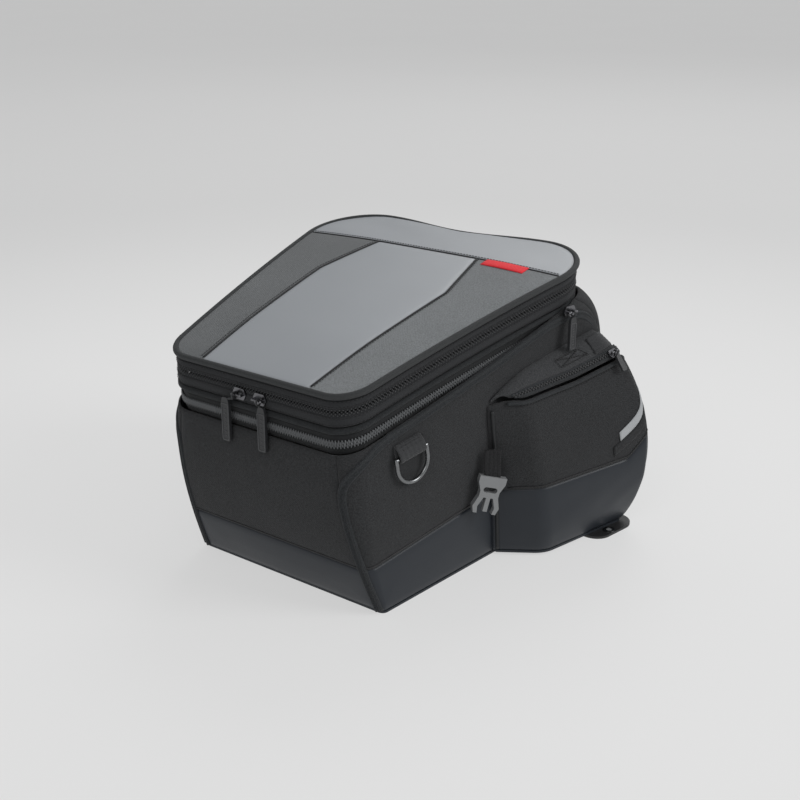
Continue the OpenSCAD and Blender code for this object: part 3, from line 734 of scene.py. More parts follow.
def smoothed(path, rounds=3):
    """Even out a path's points and normals."""
    for _ in range(rounds):
        new = [path[0]]
        for a, b, c in zip(path, path[1:], path[2:]):
            new.append(((a[0] + b[0] * 2 + c[0]) / 4, (a[1] + b[1] * 2 + c[1]).normalized()))
        path = new + [path[-1]]
    return path


def ring_cs(n=260):
    return [mix(-C_LAST, C_LAST, i / n) for i in range(n)]


def drop_surface(c, drop, inset):
    x, y = outline_point(shrink(LID, inset), c)
    return place(x, y, lid_z(y) - drop)


BAND_INSET, COIL_INSET = 1.0, 3.6


def ring_line(drop, inset):
    """(point, outward normal) pairs right round the bag, a drop below the lid's edge."""
    return [joined(lambda c, v: drop_surface(c, -v, inset), c, -drop) for c in ring_cs(420)]


def closed(path):
    return path + path[:1]


def band_shell(name, profile, body, slot, material, **more):
    """A band right round the bag through (drop, inset) points, listed from its low edge up."""
    def surface(c, v):
        k = clamp(v) * (len(profile) - 1)
        i = min(int(k), len(profile) - 2)
        f = k - i
        drop, inset = (mix(profile[i][j], profile[i + 1][j], f) for j in (0, 1))
        return drop_surface(c, drop, inset)
    return shell(name, surface, ring_cs(), span(0, 1, (len(profile) - 1) * 2), body, slot, material,
                 wrap=True, **more)


class TAILBAG_OT_collar(bpy.types.Operator):
    """Collar bands, their welt, the expansion zipper and the cloth folded away inside"""
    bl_idname = "tailbag.collar"
    bl_label = "Collar"

    def execute(self, context):
        tape = cloth("Zipper tape", colour("tape"), thread=0.0006, contrast=0.3, sheen=0.1)
        obj = band_shell("collar_cloth", [(28.0, 2.6), (27.0, 1.0), (24.5, 0.3), (21.0, 0.2), (19.0, 0.6),
                                          (18.3, 1.2), (17.6, 1.1), (16.2, 1.3), (15.5, 2.2)],
                         "collar", "body_fabric", collar_cloth(), puff=0, tuck=0, ripple=0.25, thick=1.4)
        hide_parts("collar_band")
        obj = band_shell("collar_welt", [(34.2, 3.2), (33.6, 1.2), (32.0, 0.1), (30.4, 0.1), (29.0, 0.9),
                                         (28.4, 2.6)],
                         "collar", "piping", cloth("Welt cloth", scaled(colour("piping"), 0.8),
                                                   thread=0.0006), puff=0, tuck=0, ripple=0.35, thick=1.2)
        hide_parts("collar_ridge")
        obj = band_shell("upper_tape", [(42.9, 4.6), (39.5, 3.9), (36.5, 3.8), (33.5, 4.4)], "collar", "tape",
                         tape, puff=0, tuck=0, ripple=0.3, thick=0.9)
        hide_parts("expansion_tape_upper")
        obj = band_shell("lower_tape", [(54.0, 6.0), (50.0, 4.6), (46.5, 3.8), (43.3, 4.5)], "bag_body",
                         "tape", tape, puff=0, tuck=0, ripple=0.3, thick=0.9)
        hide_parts("expansion_tape_lower")
        obj = band_shell("hidden_sleeve", [(92.0, 9.6), (70.0, 9.2), (50.0, 9.0), (36.0, 9.0)], "collar",
                         "tape", cloth("Sleeve cloth", (0.022, 0.022, 0.023), thread=0.0008), puff=0.1,
                         tuck=0.2, ripple=0.35, thick=1.0)
        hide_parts("expansion_sleeve")
        # painted highlight: the coil is coloured much lighter than the dark tape to stand for the highlights
        # along it
        teeth = coated("Zipper coil", (0.11, 0.115, 0.12), rough=0.3)
        coil("expansion_coil", closed(ring_line(41.9, COIL_INSET)), "collar", "tape", teeth, reach=2.2,
             lift=0.9)
        coil("expansion_coil_lower", closed(ring_line(44.6, COIL_INSET)), "bag_body", "tape", teeth,
             reach=1.9, lift=0.6)
        coil("main_coil_lower", closed(ring_line(16.6, BAND_INSET)), "collar", "tape", hidden_coil(),
             pitch=1.6, reach=0.8, lift=0.0)
        rows = [ring_line(drop, BAND_INSET) for drop in (19.4, 26.0)]
        stitches("collar_stitching", rows, "collar", "body_fabric", 0.9, sizes().stitch)
        return {"FINISHED"}


class TAILBAG_OT_lid(bpy.types.Operator):
    """Lid panels, band, rolled piping, seams and tag"""
    bl_idname = "tailbag.lid"
    bl_label = "Lid"

    def execute(self, context):
        # painted light: Lid cloth and Lid coating are lightened copies of the bag's dark cloth, for the light
        # falling on the lid
        lid_cloth = cloth("Lid cloth", colour("lid_cloth"), thread=0.0011, contrast=0.5, rough=0.8,
                          bump=0.6)
        # painted shade: the left side panel gets a darker copy of the lid cloth, so that side reads as less
        # lit
        shaded_lid_cloth = cloth("Lid cloth across the grain", scaled(colour("lid_cloth"), 0.63),
                           thread=0.0011, contrast=0.5, rough=0.85, bump=0.6, sheen=0.15)
        coating = coated("Lid coating", colour("lid_coated"), rough=0.44, grain=0.1, shine=0.55)

        def edge(y):
            return half_width(shrink(LID, 1.2), y)

        def panel(name, left, right, y0, y1, wide, tall, node, material, slot, **more):
            def surface(u, v):
                y = mix(y0, y1, (1 - math.cos(math.pi * v)) / 2)
                return lid_point(mix(left(y), right(y), u), y)
            obj = shell(name, surface, span(0, 1, wide), span(0, 1, tall), "lid", slot, material, thick=1.8,
                        **more)
            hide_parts(node)

        def waves(u, v, p):
            k = Vector((p.x * 9, p.y * 26 + p.x * 6, 2.0))
            return 1.1 * noise.noise(k) * math.sin(math.pi * clamp(v)) ** 0.5

        panel("lid_centre", lambda y: -centre_seam(y), centre_seam, NEAR_Y + 1.2, SEAM_FAR_Y, 44, 72,
              "lid_centre_panel", coating, "lid_coated", puff=0.5, tuck=0.9, tuck_wide=1.6, ripple=0.45,
              ripple_size=80)
        flat = {"puff": 0.3, "tuck": 0.7, "tuck_wide": 1.4, "ripple": 0.35, "ripple_size": 70}
        panel("lid_side_right", centre_seam, edge, NEAR_Y + 1.2, SEAM_FAR_Y, 26, 72, "lid_side_panel_right",
              lid_cloth, "lid_fabric", seed=4.0, **flat)
        panel("lid_side_left", lambda y: -edge(y), lambda y: -centre_seam(y), NEAR_Y + 1.2, SEAM_FAR_Y, 26,
              72, "lid_side_panel_left", shaded_lid_cloth, "lid_fabric", seed=6.0, **flat)
        panel("lid_rear", lambda y: -edge(y), edge, SEAM_FAR_Y, FAR_Y - 1.2, 90, 26, "lid_rear_panel",
              coating, "lid_coated", puff=0.7, tuck=0.9, tuck_wide=1.6, ripple=0.5, ripple_size=60, seed=9.0,
              extra=waves)
        obj = band_shell("lid_border", [(14.5, 2.2), (13.8, 1.3), (12.6, 1.1), (12.0, 1.2), (11.2, 0.6),
                                        (9.0, 0.2), (6.5, 0.5), (4.6, 1.4), (3.2, 2.6)],
                         "lid", "body_fabric", collar_cloth(), puff=0, tuck=0, ripple=0.25, thick=1.4)
        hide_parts("lid_band")
        rim = [(drop_surface(c, 1.2, 0.4), Vector((0, 0, 1))) for c in ring_cs(300)]
        roll = [(x * (1.0 + 0.05 * math.sin(3 * x)), lift) for x, lift in round_profile(2.75, 14)]
        obj = sweep("lid_roll", rim, roll, "lid", "piping",
                    cloth("Roll cloth", scaled(colour("lid_cloth"), 0.2), thread=0.0008,
                          contrast=0.3, rough=0.7), closed=True)
        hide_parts("lid_piping")
        coil("main_coil_upper", closed(ring_line(13.6, BAND_INSET)), "lid", "tape", hidden_coil(), pitch=1.6,
             reach=0.8, lift=0.0)

        def top(x, y):
            return joined(lid_point, x, y, 0.5, 0.5)
        ys = span(NEAR_Y + 5, SEAM_FAR_Y - 1, 60)
        seams = [[top(side * (centre_seam(y) + 2.6), y) for y in ys] for _, side in SIDES]
        xs = span(-edge(SEAM_FAR_Y) + 3, edge(SEAM_FAR_Y) - 3, 80)
        seams.append([top(x, SEAM_FAR_Y + 2.6) for x in xs])
        for k, side in enumerate((-1, 1)):
            line = [top(side * centre_seam(y), y) for y in ys]
            seam_shade_line("lid_seam_%d" % k, line, "lid", "lid_fabric", 0.8, 0.0)
        seam_shade_line("lid_rear_seam", [top(x, SEAM_FAR_Y) for x in xs], "lid", "lid_fabric", 0.8, 0.0)
        stitches("lid_stitching", seams, "lid", "lid_fabric", 0.45, sizes().stitch)
        rows = [ring_line(drop, BAND_INSET) for drop in (5.6, 10.6)]
        stitches("border_stitching", rows, "lid", "body_fabric", 0.9, sizes().stitch)

        def tag(u, v):
            x, y = mix(68, 112, u), mix(191.5, 203.5, v)
            return lid_point(x, y) + Vector((0, 0, 0.0011 + 0.0004 * math.sin(3 * u)))
        obj = shell("sewn_tag", tag, span(0, 1, 24), span(0, 1, 8), "lid", "tag_cloth",
                    cloth("Tag cloth", colour("tag"), thread=0.0004, contrast=0.15, sheen=0.1,
                          rough=0.7), thick=0.8, puff=0.5, tuck=0.3, tuck_wide=0.8, ripple=0.1, soft=2.0)
        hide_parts("woven_tag")
        return {"FINISHED"}


# ---- side pockets
POCKET_FRONT, POCKET_REAR, POCKET_TOP, POCKET_LOW = 149.0, 287.0, 179.0, 4.0
# how far the pocket's rear leans forward and its front reaches forward at the top
POCKET_LEAN, POCKET_REACH = 23.0, 36.0


def pocket_edge_z(y):
    """Height of the pocket's outer top edge."""
    return POCKET_TOP - 0.18 * (POCKET_REAR - POCKET_LEAN - y)


def pocket_inner_z(y):
    """Height at which the pocket's top meets the bag."""
    return pocket_edge_z(y) + 22 * (1 - (1 - clamp((y - 100) / 70)) ** 2)


def bulge(h):
    """0 at both ends of a share and 1 in its middle."""
    return 4 * h * (1 - h)


def pocket_corners(h):
    """Corners of the pocket's plan at the share h of its height, from its front to its rear."""
    z = mix(POCKET_LOW, POCKET_TOP, h)
    front, rear = POCKET_FRONT - POCKET_REACH * h, POCKET_REAR - POCKET_LEAN * h
    rear_in = rear - 5 - 10 * h
    return [Vector((body_half(front, z) + 0.6, front)),
            Vector((158 - 6 * h + 7 * bulge(h), front + 28 - 2 * h)),
            Vector((207 - 27 + 4 * h + 28.5 * bulge(h), rear)),
            Vector((body_half(rear_in - 4, z) + 0.6, rear_in))]


def fillet(a, b, c, radius, n):
    """Points of a round corner at b."""
    u, v = (a - b).normalized(), (c - b).normalized()
    half = math.acos(clamp(u.dot(v), -1, 1)) / 2
    m = b + (u + v).normalized() * (radius / math.sin(half))
    p, q = b + u * (radius / math.tan(half)) - m, b + v * (radius / math.tan(half)) - m
    return [m + radius * p.lerp(q, i / n).normalized() for i in range(n + 1)]


def pocket_plan(h):
    k = pocket_corners(h)
    return ([k[0], k[0].lerp(k[1], 0.3)] + fillet(k[0], k[1], k[2], 26, 6)
            + [k[1].lerp(k[2], 0.22 + 0.13 * i) for i in range(1, 6)] + fillet(k[1], k[2], k[3], 5, 4)
            + [k[2].lerp(k[3], 0.5), k[3]])


PLANS = {}
PLAN_FINE = 8


def plan_at(s, h):
    """A smooth point of the plan: s counts its points, h is the share of the height."""
    key = round(h, 4)
    if key not in PLANS:
        plan = pocket_plan(key)
        fine = [a.lerp(b, i / PLAN_FINE) for a, b in zip(plan, plan[1:]) for i in range(PLAN_FINE)]
        fine += plan[-1:]
        for _ in range(14):
            fine = [fine[0]] + [(a + b + c) / 3 for a, b, c in zip(fine, fine[1:], fine[2:])] + [fine[-1]]
        PLANS[key] = fine
    fine = PLANS[key]
    k = clamp(s * PLAN_FINE, 0, len(fine) - 1.0001)
    i = int(k)
    return fine[i].lerp(fine[i + 1], k - i)


PLAN_LAST = len(pocket_plan(0.5)) - 1
RIM_LAST = PLAN_LAST - 4


def pocket_top_z(q):
    wall, outer = body_half(q[1], 160) + 0.6, 160 + 17 * clamp((q[1] - 150) / 112)
    return mix(pocket_inner_z(q[1]), pocket_edge_z(q[1]), clamp((q[0] - wall) / (outer - wall)))


def pocket_seam_z(y):
    return 70 + 0.1 * (y - 115) if y < 250 else mix(83.5, 118, (y - 250) / (POCKET_REAR - 250))


def pocket_point(s, h):
    """A point of the right pocket's wall."""
    p, q = plan_at(s, h), plan_at(s, 1)
    return place(p[0], p[1], mix(POCKET_LOW, pocket_top_z(q), h))


def pocket_seam_h(s):
    """Share of the height at which the pocket's coated skirt ends."""
    return (pocket_seam_z(plan_at(s, 0.45)[1]) - POCKET_LOW) / (pocket_top_z(plan_at(s, 1)) - POCKET_LOW)


def mirrored(surface, side):
    """The same surface on the left, still with u to the right as seen from outside."""
    if side > 0:
        return surface
    return lambda u, v: Matrix.Scale(-1, 3, (1, 0, 0)) @ surface(1 - u, v)


def flap_point(f, v):
    """The zipped top of a pocket: f from its front to its rear, v from its outer edge to the body."""
    f = clamp(f)
    rim = plan_at(mix(1.6, RIM_LAST + 0.9, f), 1)
    edge = Vector((rim[0] - 0.6, rim[1], pocket_top_z(rim) + 3.0))
    y = mix(POCKET_FRONT - 34, POCKET_REAR - POCKET_LEAN - 18, f)
    inner_z = pocket_inner_z(y) + 4.6
    inner = Vector((body_half(y, inner_z) + 1.4, y, inner_z))
    p = edge.lerp(inner, v)
    return place(p[0], p[1], p[2] + 3.0 * bulge(v) + 2.0 * (1 - v) * v * math.sin(math.pi * f))


class TAILBAG_OT_pockets(bpy.types.Operator):
    """Side pockets with their zipped tops, piping and reflective strips"""
    bl_idname = "tailbag.pockets"
    bl_label = "Side pockets"

    def execute(self, context):
        full = sizes().fullness
        dark = dark_piping()
        for name, side in SIDES:
            def wall(u, v, low, top):
                s = u * PLAN_LAST
                return pocket_point(s, mix(low(s), top(s), v))
            us = span(0, 1, 110)
            obj = shell("pocket_cloth_" + name,
                        mirrored(lambda u, v: wall(u, v, pocket_seam_h, lambda s: 1.0), side), us,
                        span(0, 1, 34), "bag_body", "body_fabric", body_cloth(), puff=full * 0.8, ripple=0.9,
                        seed=20.0 + side, tuck=0.8)
            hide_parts("pocket_wall_" + name)
            obj = shell("pocket_coated_" + name,
                        mirrored(lambda u, v: wall(u, v, lambda s: 0.0, pocket_seam_h), side), us,
                        span(0, 1, 28), "bag_body", "body_coated", skirt_cloth(), puff=full * 0.7, ripple=0.8,
                        ripple_size=42, seed=24.0 + side, tuck=0.8)
            pocket_foot(name, side)
            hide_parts("pocket_skirt_" + name)
            seam = [joined(pocket_point, s, pocket_seam_h(s) + 0.02) for s in span(1, PLAN_LAST - 3, 60)]
            rim = [joined(pocket_point, s, 0.975) for s in span(2, RIM_LAST, 60)]
            seam_shade_line("pocket_seam_" + name, [(p + n * 0.0006, n) for p, n in flip(seam, side)], "bag_body",
                      "body_fabric")
            stitches("pocket_stitching_" + name, [flip(seam, side), flip(rim, side)], "bag_body",
                     "body_fabric", 1.1, sizes().stitch)
            edge = [joined(pocket_point, s, 0.99) for s in span(1.4, RIM_LAST + 0.8, 90)]
            top = sweep("pocket_rim_" + name, flip(edge, side), turn(round_profile(1.8, 10, lift=0.6), side),
                        "bag_body", "piping", piping_cloth())
            rear = [joined(pocket_point, RIM_LAST + 1.2, h) for h in span(0.985, 0.02, 60)]
            sweep("pocket_rear_welt_" + name, flip(rear, side), turn(round_profile(2.3, 10, lift=0.6), side),
                  "bag_body", "piping", dark)
            front = [joined(pocket_point, 0.35, h) for h in span(0.97, 0.02, 50)]
            sweep("pocket_front_welt_" + name, flip(front, side),
                  turn(round_profile(1.8, 10, lift=0.4), side), "bag_body", "piping", dark)
            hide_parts("pocket_piping_" + name)
            self.zipped_top(name, side)
            self.reflective(name, side)
        return {"FINISHED"}

    def zipped_top(self, name, side):
        # painted sheen: the pocket top uses the body cloth made 1.55 times lighter, for the light on its
        # upward face
        obj = shell("pocket_top_" + name, mirrored(flap_point, side), span(0, 1, 60), span(0, 1, 24),
                    "pocket_flap_" + name, "body_fabric",
                    cloth("Pocket top cloth", scaled(colour("body"), 1.55), thread=0.001), thick=1.7,
                    puff=0.9, ripple=0.7, ripple_size=35, tuck=0.9, seed=30.0 + side)
        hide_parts("pocket_flap_" + name)
        body = "pocket_flap_" + name
        for k, v in enumerate((0.06, 0.20)):
            line = [joined(flap_point, f, v, 0.01, 0.01) for f in span(0.03, 0.97, 70)]
            sweep("pocket_zip_fold_%s_%d" % (name, k), flip(line, side),
                  turn(round_profile(1.2, 10, 0.75, 0.3), side), body, "piping", piping_cloth())
        line = [joined(flap_point, f, 0.13, 0.01, 0.01) for f in span(0.03, 0.97, 70)]
        coil("pocket_coil_" + name, flip(line, side), body, "tape", hidden_coil(), pitch=1.6, reach=1.4,
             lift=0.9)
        box = [[joined(flap_point, f, v, 0.01, 0.01) for f, v in
                zip(span(a[0], b[0], 12), span(a[1], b[1], 12))]
               for a, b in (((0.52, 0.36), (0.68, 0.36)), ((0.52, 0.62), (0.68, 0.62)),
                            ((0.52, 0.36), (0.52, 0.62)), ((0.68, 0.36), (0.68, 0.62)),
                            ((0.52, 0.36), (0.68, 0.62)), ((0.52, 0.62), (0.68, 0.36)))]
        stitches("pocket_box_stitch_" + name, [flip(line, side) for line in box], body, "webbing", 1.6, 2.6)
        loop = [joined(flap_point, f, 0.5, 0.01, 0.01) for f in span(0.74, 0.95, 20)]
        arch = [(p + n * MM * (1.0 + 2.2 * math.sin(math.pi * i / 20)), n)
                for i, (p, n) in enumerate(loop)]
        sweep("pocket_loop_" + name, flip(arch, side), turn(webbing_profile(16, 1.4, 5), side), body,
              "webbing", webbing_cloth())

    def reflective(self, name, side):
        def strip(u, v):
            s = mix(RIM_LAST - 4.3, RIM_LAST + 0.2, u)
            h = mix(0.60, 0.80, u) + 0.05 * v
            p, n = joined(pocket_point, s, h)
            return p + n * 0.0019
        obj = shell("reflective_strip_" + name, mirrored(strip, side), span(0, 1, 30), span(0, 1, 4),
                    "bag_body", "reflective",
                    coated("Reflective film", (0.34, 0.35, 0.36), rough=0.35, broad=80),
                    thick=0.5, puff=0, tuck=0.15, ripple=0)
        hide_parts("reflector_" + name)

        def under(u, v):
            s = mix(RIM_LAST - 4.8, RIM_LAST + 0.3, u)
            h = mix(0.52, 0.735, u) + 0.055 * v
            p, n = joined(pocket_point, s, h)
            return p + n * 0.0016
        shell("strip_backing_" + name, mirrored(under, side), span(0, 1, 30), span(0, 1, 4), "bag_body",
              "body_fabric", body_cloth(), thick=0.5, puff=0, tuck=0.15, ripple=0)


def pocket_foot(name, side):
    """Flat coated bottom of a pocket."""
    line = [plan_at(s, 0) for s in span(0.3, PLAN_LAST, 60)]
    inner = [Vector((body_half(y, 5) + 0.4, y)) for y in span(line[0][1], line[-1][1], 60)]
    points, faces = [], []
    for z in (2.4, 4.6):
        for a, b in zip(line, inner):
            points += [place(a[0], a[1], z), place(b[0], b[1], z)]
    n = 2 * len(line)
    for i in range(len(line) - 1):
        a = 2 * i
        faces += [(a, a + 2, a + 3, a + 1), (n + a, n + a + 1, n + a + 3, n + a + 2),
                  (a, n + a, n + a + 2, a + 2), (a + 1, a + 3, n + a + 3, n + a + 1)]
    faces += [(0, 1, n + 1, n), (n - 2, 2 * n - 2, 2 * n - 1, n - 1)]
    if side < 0:
        points = [Vector((-p.x, p.y, p.z)) for p in points]
        faces = [tuple(reversed(f)) for f in faces]
    make("pocket_foot_" + name, points, faces, "bag_body", "body_coated", skirt_cloth(), smooth=False)


def flip(path, side):
    """A path of (point, normal) pairs moved to the other side."""
    if side > 0:
        return path
    return [(Vector((-p.x, p.y, p.z)), Vector((-n.x, n.y, n.z))) for p, n in path]


def turn(profile, side):
    """A profile mirrored to suit a flipped path."""
    return profile if side > 0 else [(-x, lift) for x, lift in reversed(profile)]


def webbing_cloth():
    return cloth("Webbing", (0.036, 0.037, 0.039), thread=0.0012, contrast=0.4, rough=0.75, sheen=0.15)


def ring_matrix(side):
    """Place of a D-ring's pivot."""
    z = lid_z(22) - 74
    m = (Matrix.Translation(place(body_half(22, z) + 5.5, 22, z))
         @ Matrix.Rotation(-taper(LID), 4, "Z") @ Matrix.Rotation(math.radians(10), 4, "X"))
    return m if side > 0 else Matrix.Scale(-1, 4, (1, 0, 0)) @ m


class TAILBAG_OT_webbing(bpy.types.Operator):
    """Webbing: D-ring loops, buckle straps and the carry handle"""
    bl_idname = "tailbag.webbing"
    bl_label = "Webbing"

    def execute(self, context):
        for name, side in SIDES:
            m = ring_matrix(side)
            loop = [(-4.6, 11), (-4.4, 8), (-4.0, 4)]
            loop += [(3.0 * math.cos(a), 3.0 * math.sin(a)) for a in span(math.pi * 1.05, math.pi * 2, 16)]
            loop += [(2.4, 3.5), (0.8, 6.5), (-1.4, 9.5), (-3.0, 11)]
            path = []
            for i, (x, z) in enumerate(loop):
                a, b = loop[max(0, i - 1)], loop[min(len(loop) - 1, i + 1)]
                along = Vector((b[0] - a[0], 0, b[1] - a[1])).normalized()
                normal = Vector((along.z, 0, -along.x))
                path.append((m @ (Vector((x, 0, z)) * MM), (m.to_3x3() @ normal).normalized()))
            obj = sweep("d_ring_webbing_" + name, path, turn(webbing_profile(28, 1.2, 6), side), "bag_body",
                        "webbing", webbing_cloth())
            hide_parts("d_ring_loop_" + name)
            rows = []
            for z in (6.5, 9.0):
                x = mix(2.6, -2.6, (z - 3) / 7.5)
                normal = (m.to_3x3() @ Vector((1, 0, 0.35))).normalized()
                rows.append([(m @ (Vector((x, y, z)) * MM), normal) for y in span(-12, 12, 12)])
            stitches("d_ring_stitching_" + name, rows, "bag_body", "webbing", 1.2, 2.4)
        for name, side in SIDES:
            y0 = POCKET_FRONT - POCKET_REACH * 118 / POCKET_TOP
            base = place(body_half(y0, 118) + 9.9, y0 - 9.4, 119.8)
            m = Matrix.Translation(base) @ Matrix.Rotation(math.radians(-40), 4, "Z")
            if side < 0:
                m = Matrix.Scale(-1, 4, (1, 0, 0)) @ m
            path = [(m @ (Vector((0.5 * math.sin(z * 0.2), 0, z)) * MM),
                     (m.to_3x3() @ Vector((1, 0, 0))).normalized()) for z in span(1, -26, 18)]
            obj = sweep("buckle_webbing_" + name, path, turn(webbing_profile(15, 1.2, 4), side),
                        "buckle_" + name, "webbing", cloth("Strap webbing", (0.018, 0.018, 0.019)))
            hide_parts("buckle_strap_" + name)
        path = []
        for u in span(-1, 1, 48):
            path.append((place(u * 62, 292 - 16 * abs(u) ** 3, 178), Vector((0.35 * u, 1, 0)).normalized()))
        obj = sweep("handle_webbing", path, webbing_profile(25, 1.8, 7), "bag_body", "webbing",
                    webbing_cloth())
        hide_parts("carry_handle")
        return {"FINISHED"}


def pull_trim(body, place_at, length, width, material):
    """Raised rim and grip bars on the front of a moulded pull."""
    def at(x, z, lift=0.0):
        return place_at @ (Vector((x, -1.25 - lift, z - 4.4)) * MM)
    out = (place_at.to_3x3() @ Vector((0, -1, 0))).normalized()
    w, turns = width / 2 - 0.9, []
    low, high = -length + 2.6, -7.2
    for a, (x, z) in enumerate(((w - 1.6, low), (-w + 1.6, low), (-w + 1.2, high), (w - 1.2, high))):
        for i in range(6):
            angle = -QUARTER * (a + i / 5)
            turns.append((x + 1.5 * math.cos(angle), z + 1.5 * math.sin(angle)))
    path = [(at(x, z), out) for x, z in turns]
    rim = sweep(body + "_rim", path, round_profile(0.55, 8), body, "pull_rubber", material, closed=True)
    spots = []
    for i in range(7):
        z = mix(-10.5, -length + 5, i / 6)
        spots.append((at(0, z), (at(1.7, z) - at(0, z)), (at(0, z + 0.55) - at(0, z)), out * 0.0005))
    beads(body + "_bars", spots, body, "pull_rubber", material)
    return rim


class TAILBAG_OT_fittings(bpy.types.Operator):
    """Finishes of the metal, rubber and plastic fittings, and the boards"""
    bl_idname = "tailbag.fittings"
    bl_label = "Fittings"

    def execute(self, context):
        gun = metal("Gunmetal", (0.17, 0.17, 0.18), 0.30)
        ring = metal("Ring steel", (0.20, 0.205, 0.21), 0.28)
        rubber = coated("Moulded rubber", (0.022, 0.023, 0.025), rough=0.5)
        plug = coated("Buckle plastic", (0.20, 0.205, 0.21), rough=0.4, broad=50)
        tab = coated("Tab rubber", (0.014, 0.014, 0.015), rough=0.55, broad=40)
        board = coated("Board cover", (0.03, 0.03, 0.031), rough=0.75)
        finishes = {"base_panel": skirt_cloth(), "base_board": board, "lid_board": board,
                    "expansion_slider": gun, "expansion_pull": rubber}
        for name, _ in SIDES:
            finishes.update({
                "main_slider_" + name: gun, "pocket_slider_" + name: gun, "main_pull_" + name: rubber,
                "pocket_pull_" + name: rubber, "d_ring_" + name: ring, "tab_eyelet_" + name: ring,
                "buckle_plug_" + name: plug, "mount_tab_" + name: tab})
        for node, material in finishes.items():
            mesh = NODES[node].data
            mesh.materials.clear()
            mesh.materials.append(material)
        # painted highlight: the rims and grip bars are coloured lighter than the pull's rubber, for the light
        # caught on their edges
        trim = coated("Moulded trim", (0.045, 0.047, 0.05), rough=0.38)
        z = lid_z(NEAR_Y) - 19.5
        pull_trim("main_pull_right", Matrix.Translation(place(9 + 5.5, NEAR_Y - 4.7, z)), 39, 9, trim)
        pull_trim("main_pull_left", Matrix.Translation(place(-14 - 12.5, NEAR_Y - 4.7, z)), 39, 9, trim)
        top, y = body_outline(1.0), 206
        turned = Matrix.Rotation(math.pi / 2 - taper(top), 4, "Z")
        start = Matrix.Translation(place(half_width(top, y) + 3.4, y, lid_z(y) - 31))
        pull_trim("expansion_pull", start @ turned @ Matrix.Translation((0, -0.006, 0)), 30, 8, trim)
        return {"FINISHED"}


# ---- the studio, in metres: each lamp's name, place, width and watts
LAMPS = (("back", (-1.0, 2.8, 3.0), 2.6, 42), ("right", (3.0, 1.0, 2.0), 1.8, 56),
         ("front", (1.3, -3.0, 2.6), 2.4, 33))
FLOOR_HALF, CAMERA_AWAY = 24.0, 1.18697
AZIMUTH, ELEVATION = math.radians(37.912), math.radians(21.386)


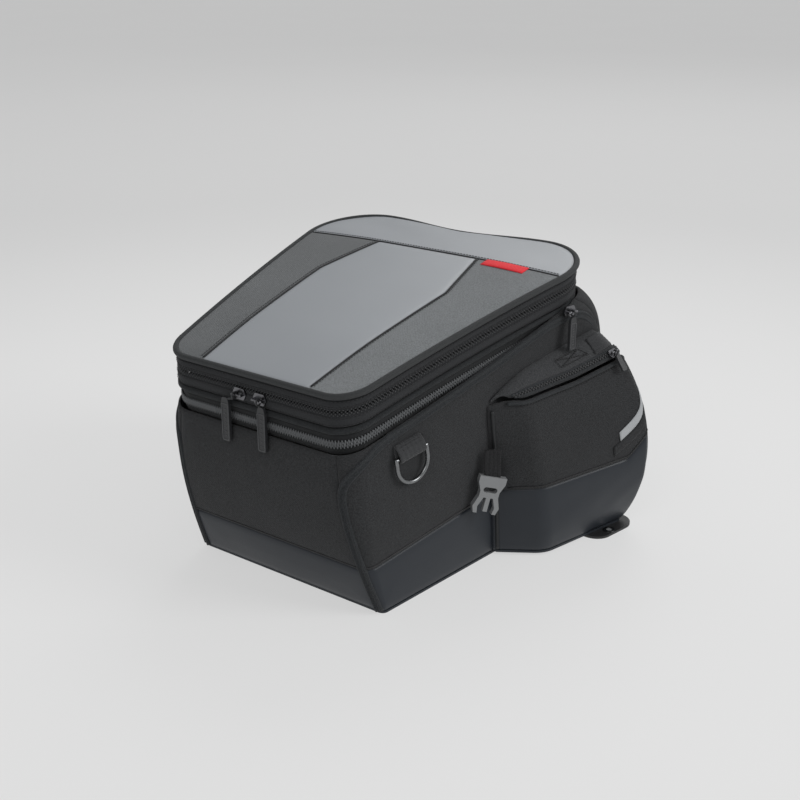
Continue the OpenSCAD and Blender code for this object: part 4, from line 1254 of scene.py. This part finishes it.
class TAILBAG_OT_studio(bpy.types.Operator):
    """Pale floor, soft studio light and the camera"""
    bl_idname = "tailbag.studio"
    bl_label = "Studio"

    def execute(self, context):
        scene = context.scene
        scene.view_settings.view_transform = "Standard"
        world = bpy.data.worlds.new("Studio")
        world.use_nodes = True
        world.node_tree.nodes["Background"].inputs[0].default_value = (0.655, 0.66, 0.665, 1)
        world.node_tree.nodes["Background"].inputs[1].default_value = 0.62
        scene.world = world
        mesh = bpy.data.meshes.new("floor")
        corners = ((-1, -1), (1, -1), (1, 1), (-1, 1))
        mesh.from_pydata([(x * FLOOR_HALF, y * FLOOR_HALF, 0) for x, y in corners], [], [(0, 1, 2, 3)])
        floor = bpy.data.objects.new("floor", mesh)
        context.collection.objects.link(floor)
        material, tree, shader = base_material("Paper floor")
        uneven = group_node(tree, "Unevenness", mottle_group)
        uneven.inputs["Broad"].default_value = 1.5
        uneven.inputs["Fine"].default_value = 200.0
        # painted pool of light: the floor glows, and its tone fades from pale round the bag to dim further
        # away
        spot = tree.nodes.new("ShaderNodeTexCoord")
        reach = tree.nodes.new("ShaderNodeVectorMath")
        reach.operation = "LENGTH"
        tree.links.new(spot.outputs["Object"], reach.inputs[0])
        away = tree.nodes.new("ShaderNodeMapRange")
        away.interpolation_type = "SMOOTHSTEP"
        away.inputs["From Min"].default_value, away.inputs["From Max"].default_value = 0.35, 1.7
        tree.links.new(reach.outputs["Value"], away.inputs["Value"])
        pale = mix_colour(tree, uneven.outputs["Broad"], (0.247, 0.247, 0.247), (0.253, 0.253, 0.2525))
        dim = mix_colour(tree, uneven.outputs["Broad"], (0.206, 0.206, 0.206), (0.210, 0.210, 0.2095))
        tone = mix_colour(tree, away.outputs["Result"], pale, dim)
        tree.links.new(tone, shader.inputs["Base Color"])
        tree.links.new(tone, shader.inputs["Emission Color"])
        shader.inputs["Emission Strength"].default_value = 2.1
        shader.inputs["Roughness"].default_value = 0.9
        shader.inputs["Specular IOR Level"].default_value = 0.1
        mesh.materials.append(material)
        middle = place(0, 150, 100)
        for name, where, size, power in LAMPS:
            light = bpy.data.lights.new(name, "AREA")
            light.shape, light.size, light.energy = "DISK", size, power
            lamp = bpy.data.objects.new(name + "_light", light)
            context.collection.objects.link(lamp)
            lamp.location = where
            lamp.rotation_euler = (middle - lamp.location).to_track_quat("-Z", "Y").to_euler()
        back = Vector((math.sin(AZIMUTH) * math.cos(ELEVATION), -math.cos(AZIMUTH) * math.cos(ELEVATION),
                       math.sin(ELEVATION)))
        data = bpy.data.cameras.new("camera")
        data.sensor_width, data.lens = 36.0, 55.9
        data.shift_x, data.shift_y = 0.0092, 0.0318
        camera = bpy.data.objects.new("camera", data)
        context.collection.objects.link(camera)
        camera.location = middle + back * CAMERA_AWAY
        camera.rotation_euler = (-back).to_track_quat("-Z", "Y").to_euler()
        scene.camera = camera
        return {"FINISHED"}


class TAILBAG_PT_panel(bpy.types.Panel):
    """Sizes, colours and building steps of the tail bag"""
    bl_label = "Tail bag"
    bl_idname = "TAILBAG_PT_panel"
    bl_space_type = "VIEW_3D"
    bl_region_type = "UI"
    bl_category = "Tail bag"

    def draw(self, context):
        for group in (sizes(), context.scene.tail_bag_colours):
            box = self.layout.box()
            for name in group.__annotations__:
                box.prop(group, name)
        for step in STEPS:
            self.layout.operator(step.bl_idname)


STEPS = (TAILBAG_OT_studio, TAILBAG_OT_body_panels, TAILBAG_OT_side_piping, TAILBAG_OT_collar, TAILBAG_OT_lid,
         TAILBAG_OT_pockets, TAILBAG_OT_webbing, TAILBAG_OT_fittings)
CLASSES = (TailBagColours, TailBagSizes, *STEPS, TAILBAG_PT_panel)


def register():
    for cls in CLASSES:
        bpy.utils.register_class(cls)
    bpy.types.Scene.tail_bag_colours = PointerProperty(type=TailBagColours)
    bpy.types.Scene.tail_bag_sizes = PointerProperty(type=TailBagSizes)


def unregister():
    del bpy.types.Scene.tail_bag_sizes, bpy.types.Scene.tail_bag_colours
    for cls in reversed(CLASSES):
        bpy.utils.unregister_class(cls)


def main():
    register()
    for step in STEPS:
        group, operator = step.bl_idname.split(".")
        if getattr(getattr(bpy.ops, group), operator)() != {"FINISHED"}:
            raise RuntimeError(step.bl_label + " did not finish")


if __name__ == "__main__":
    main()
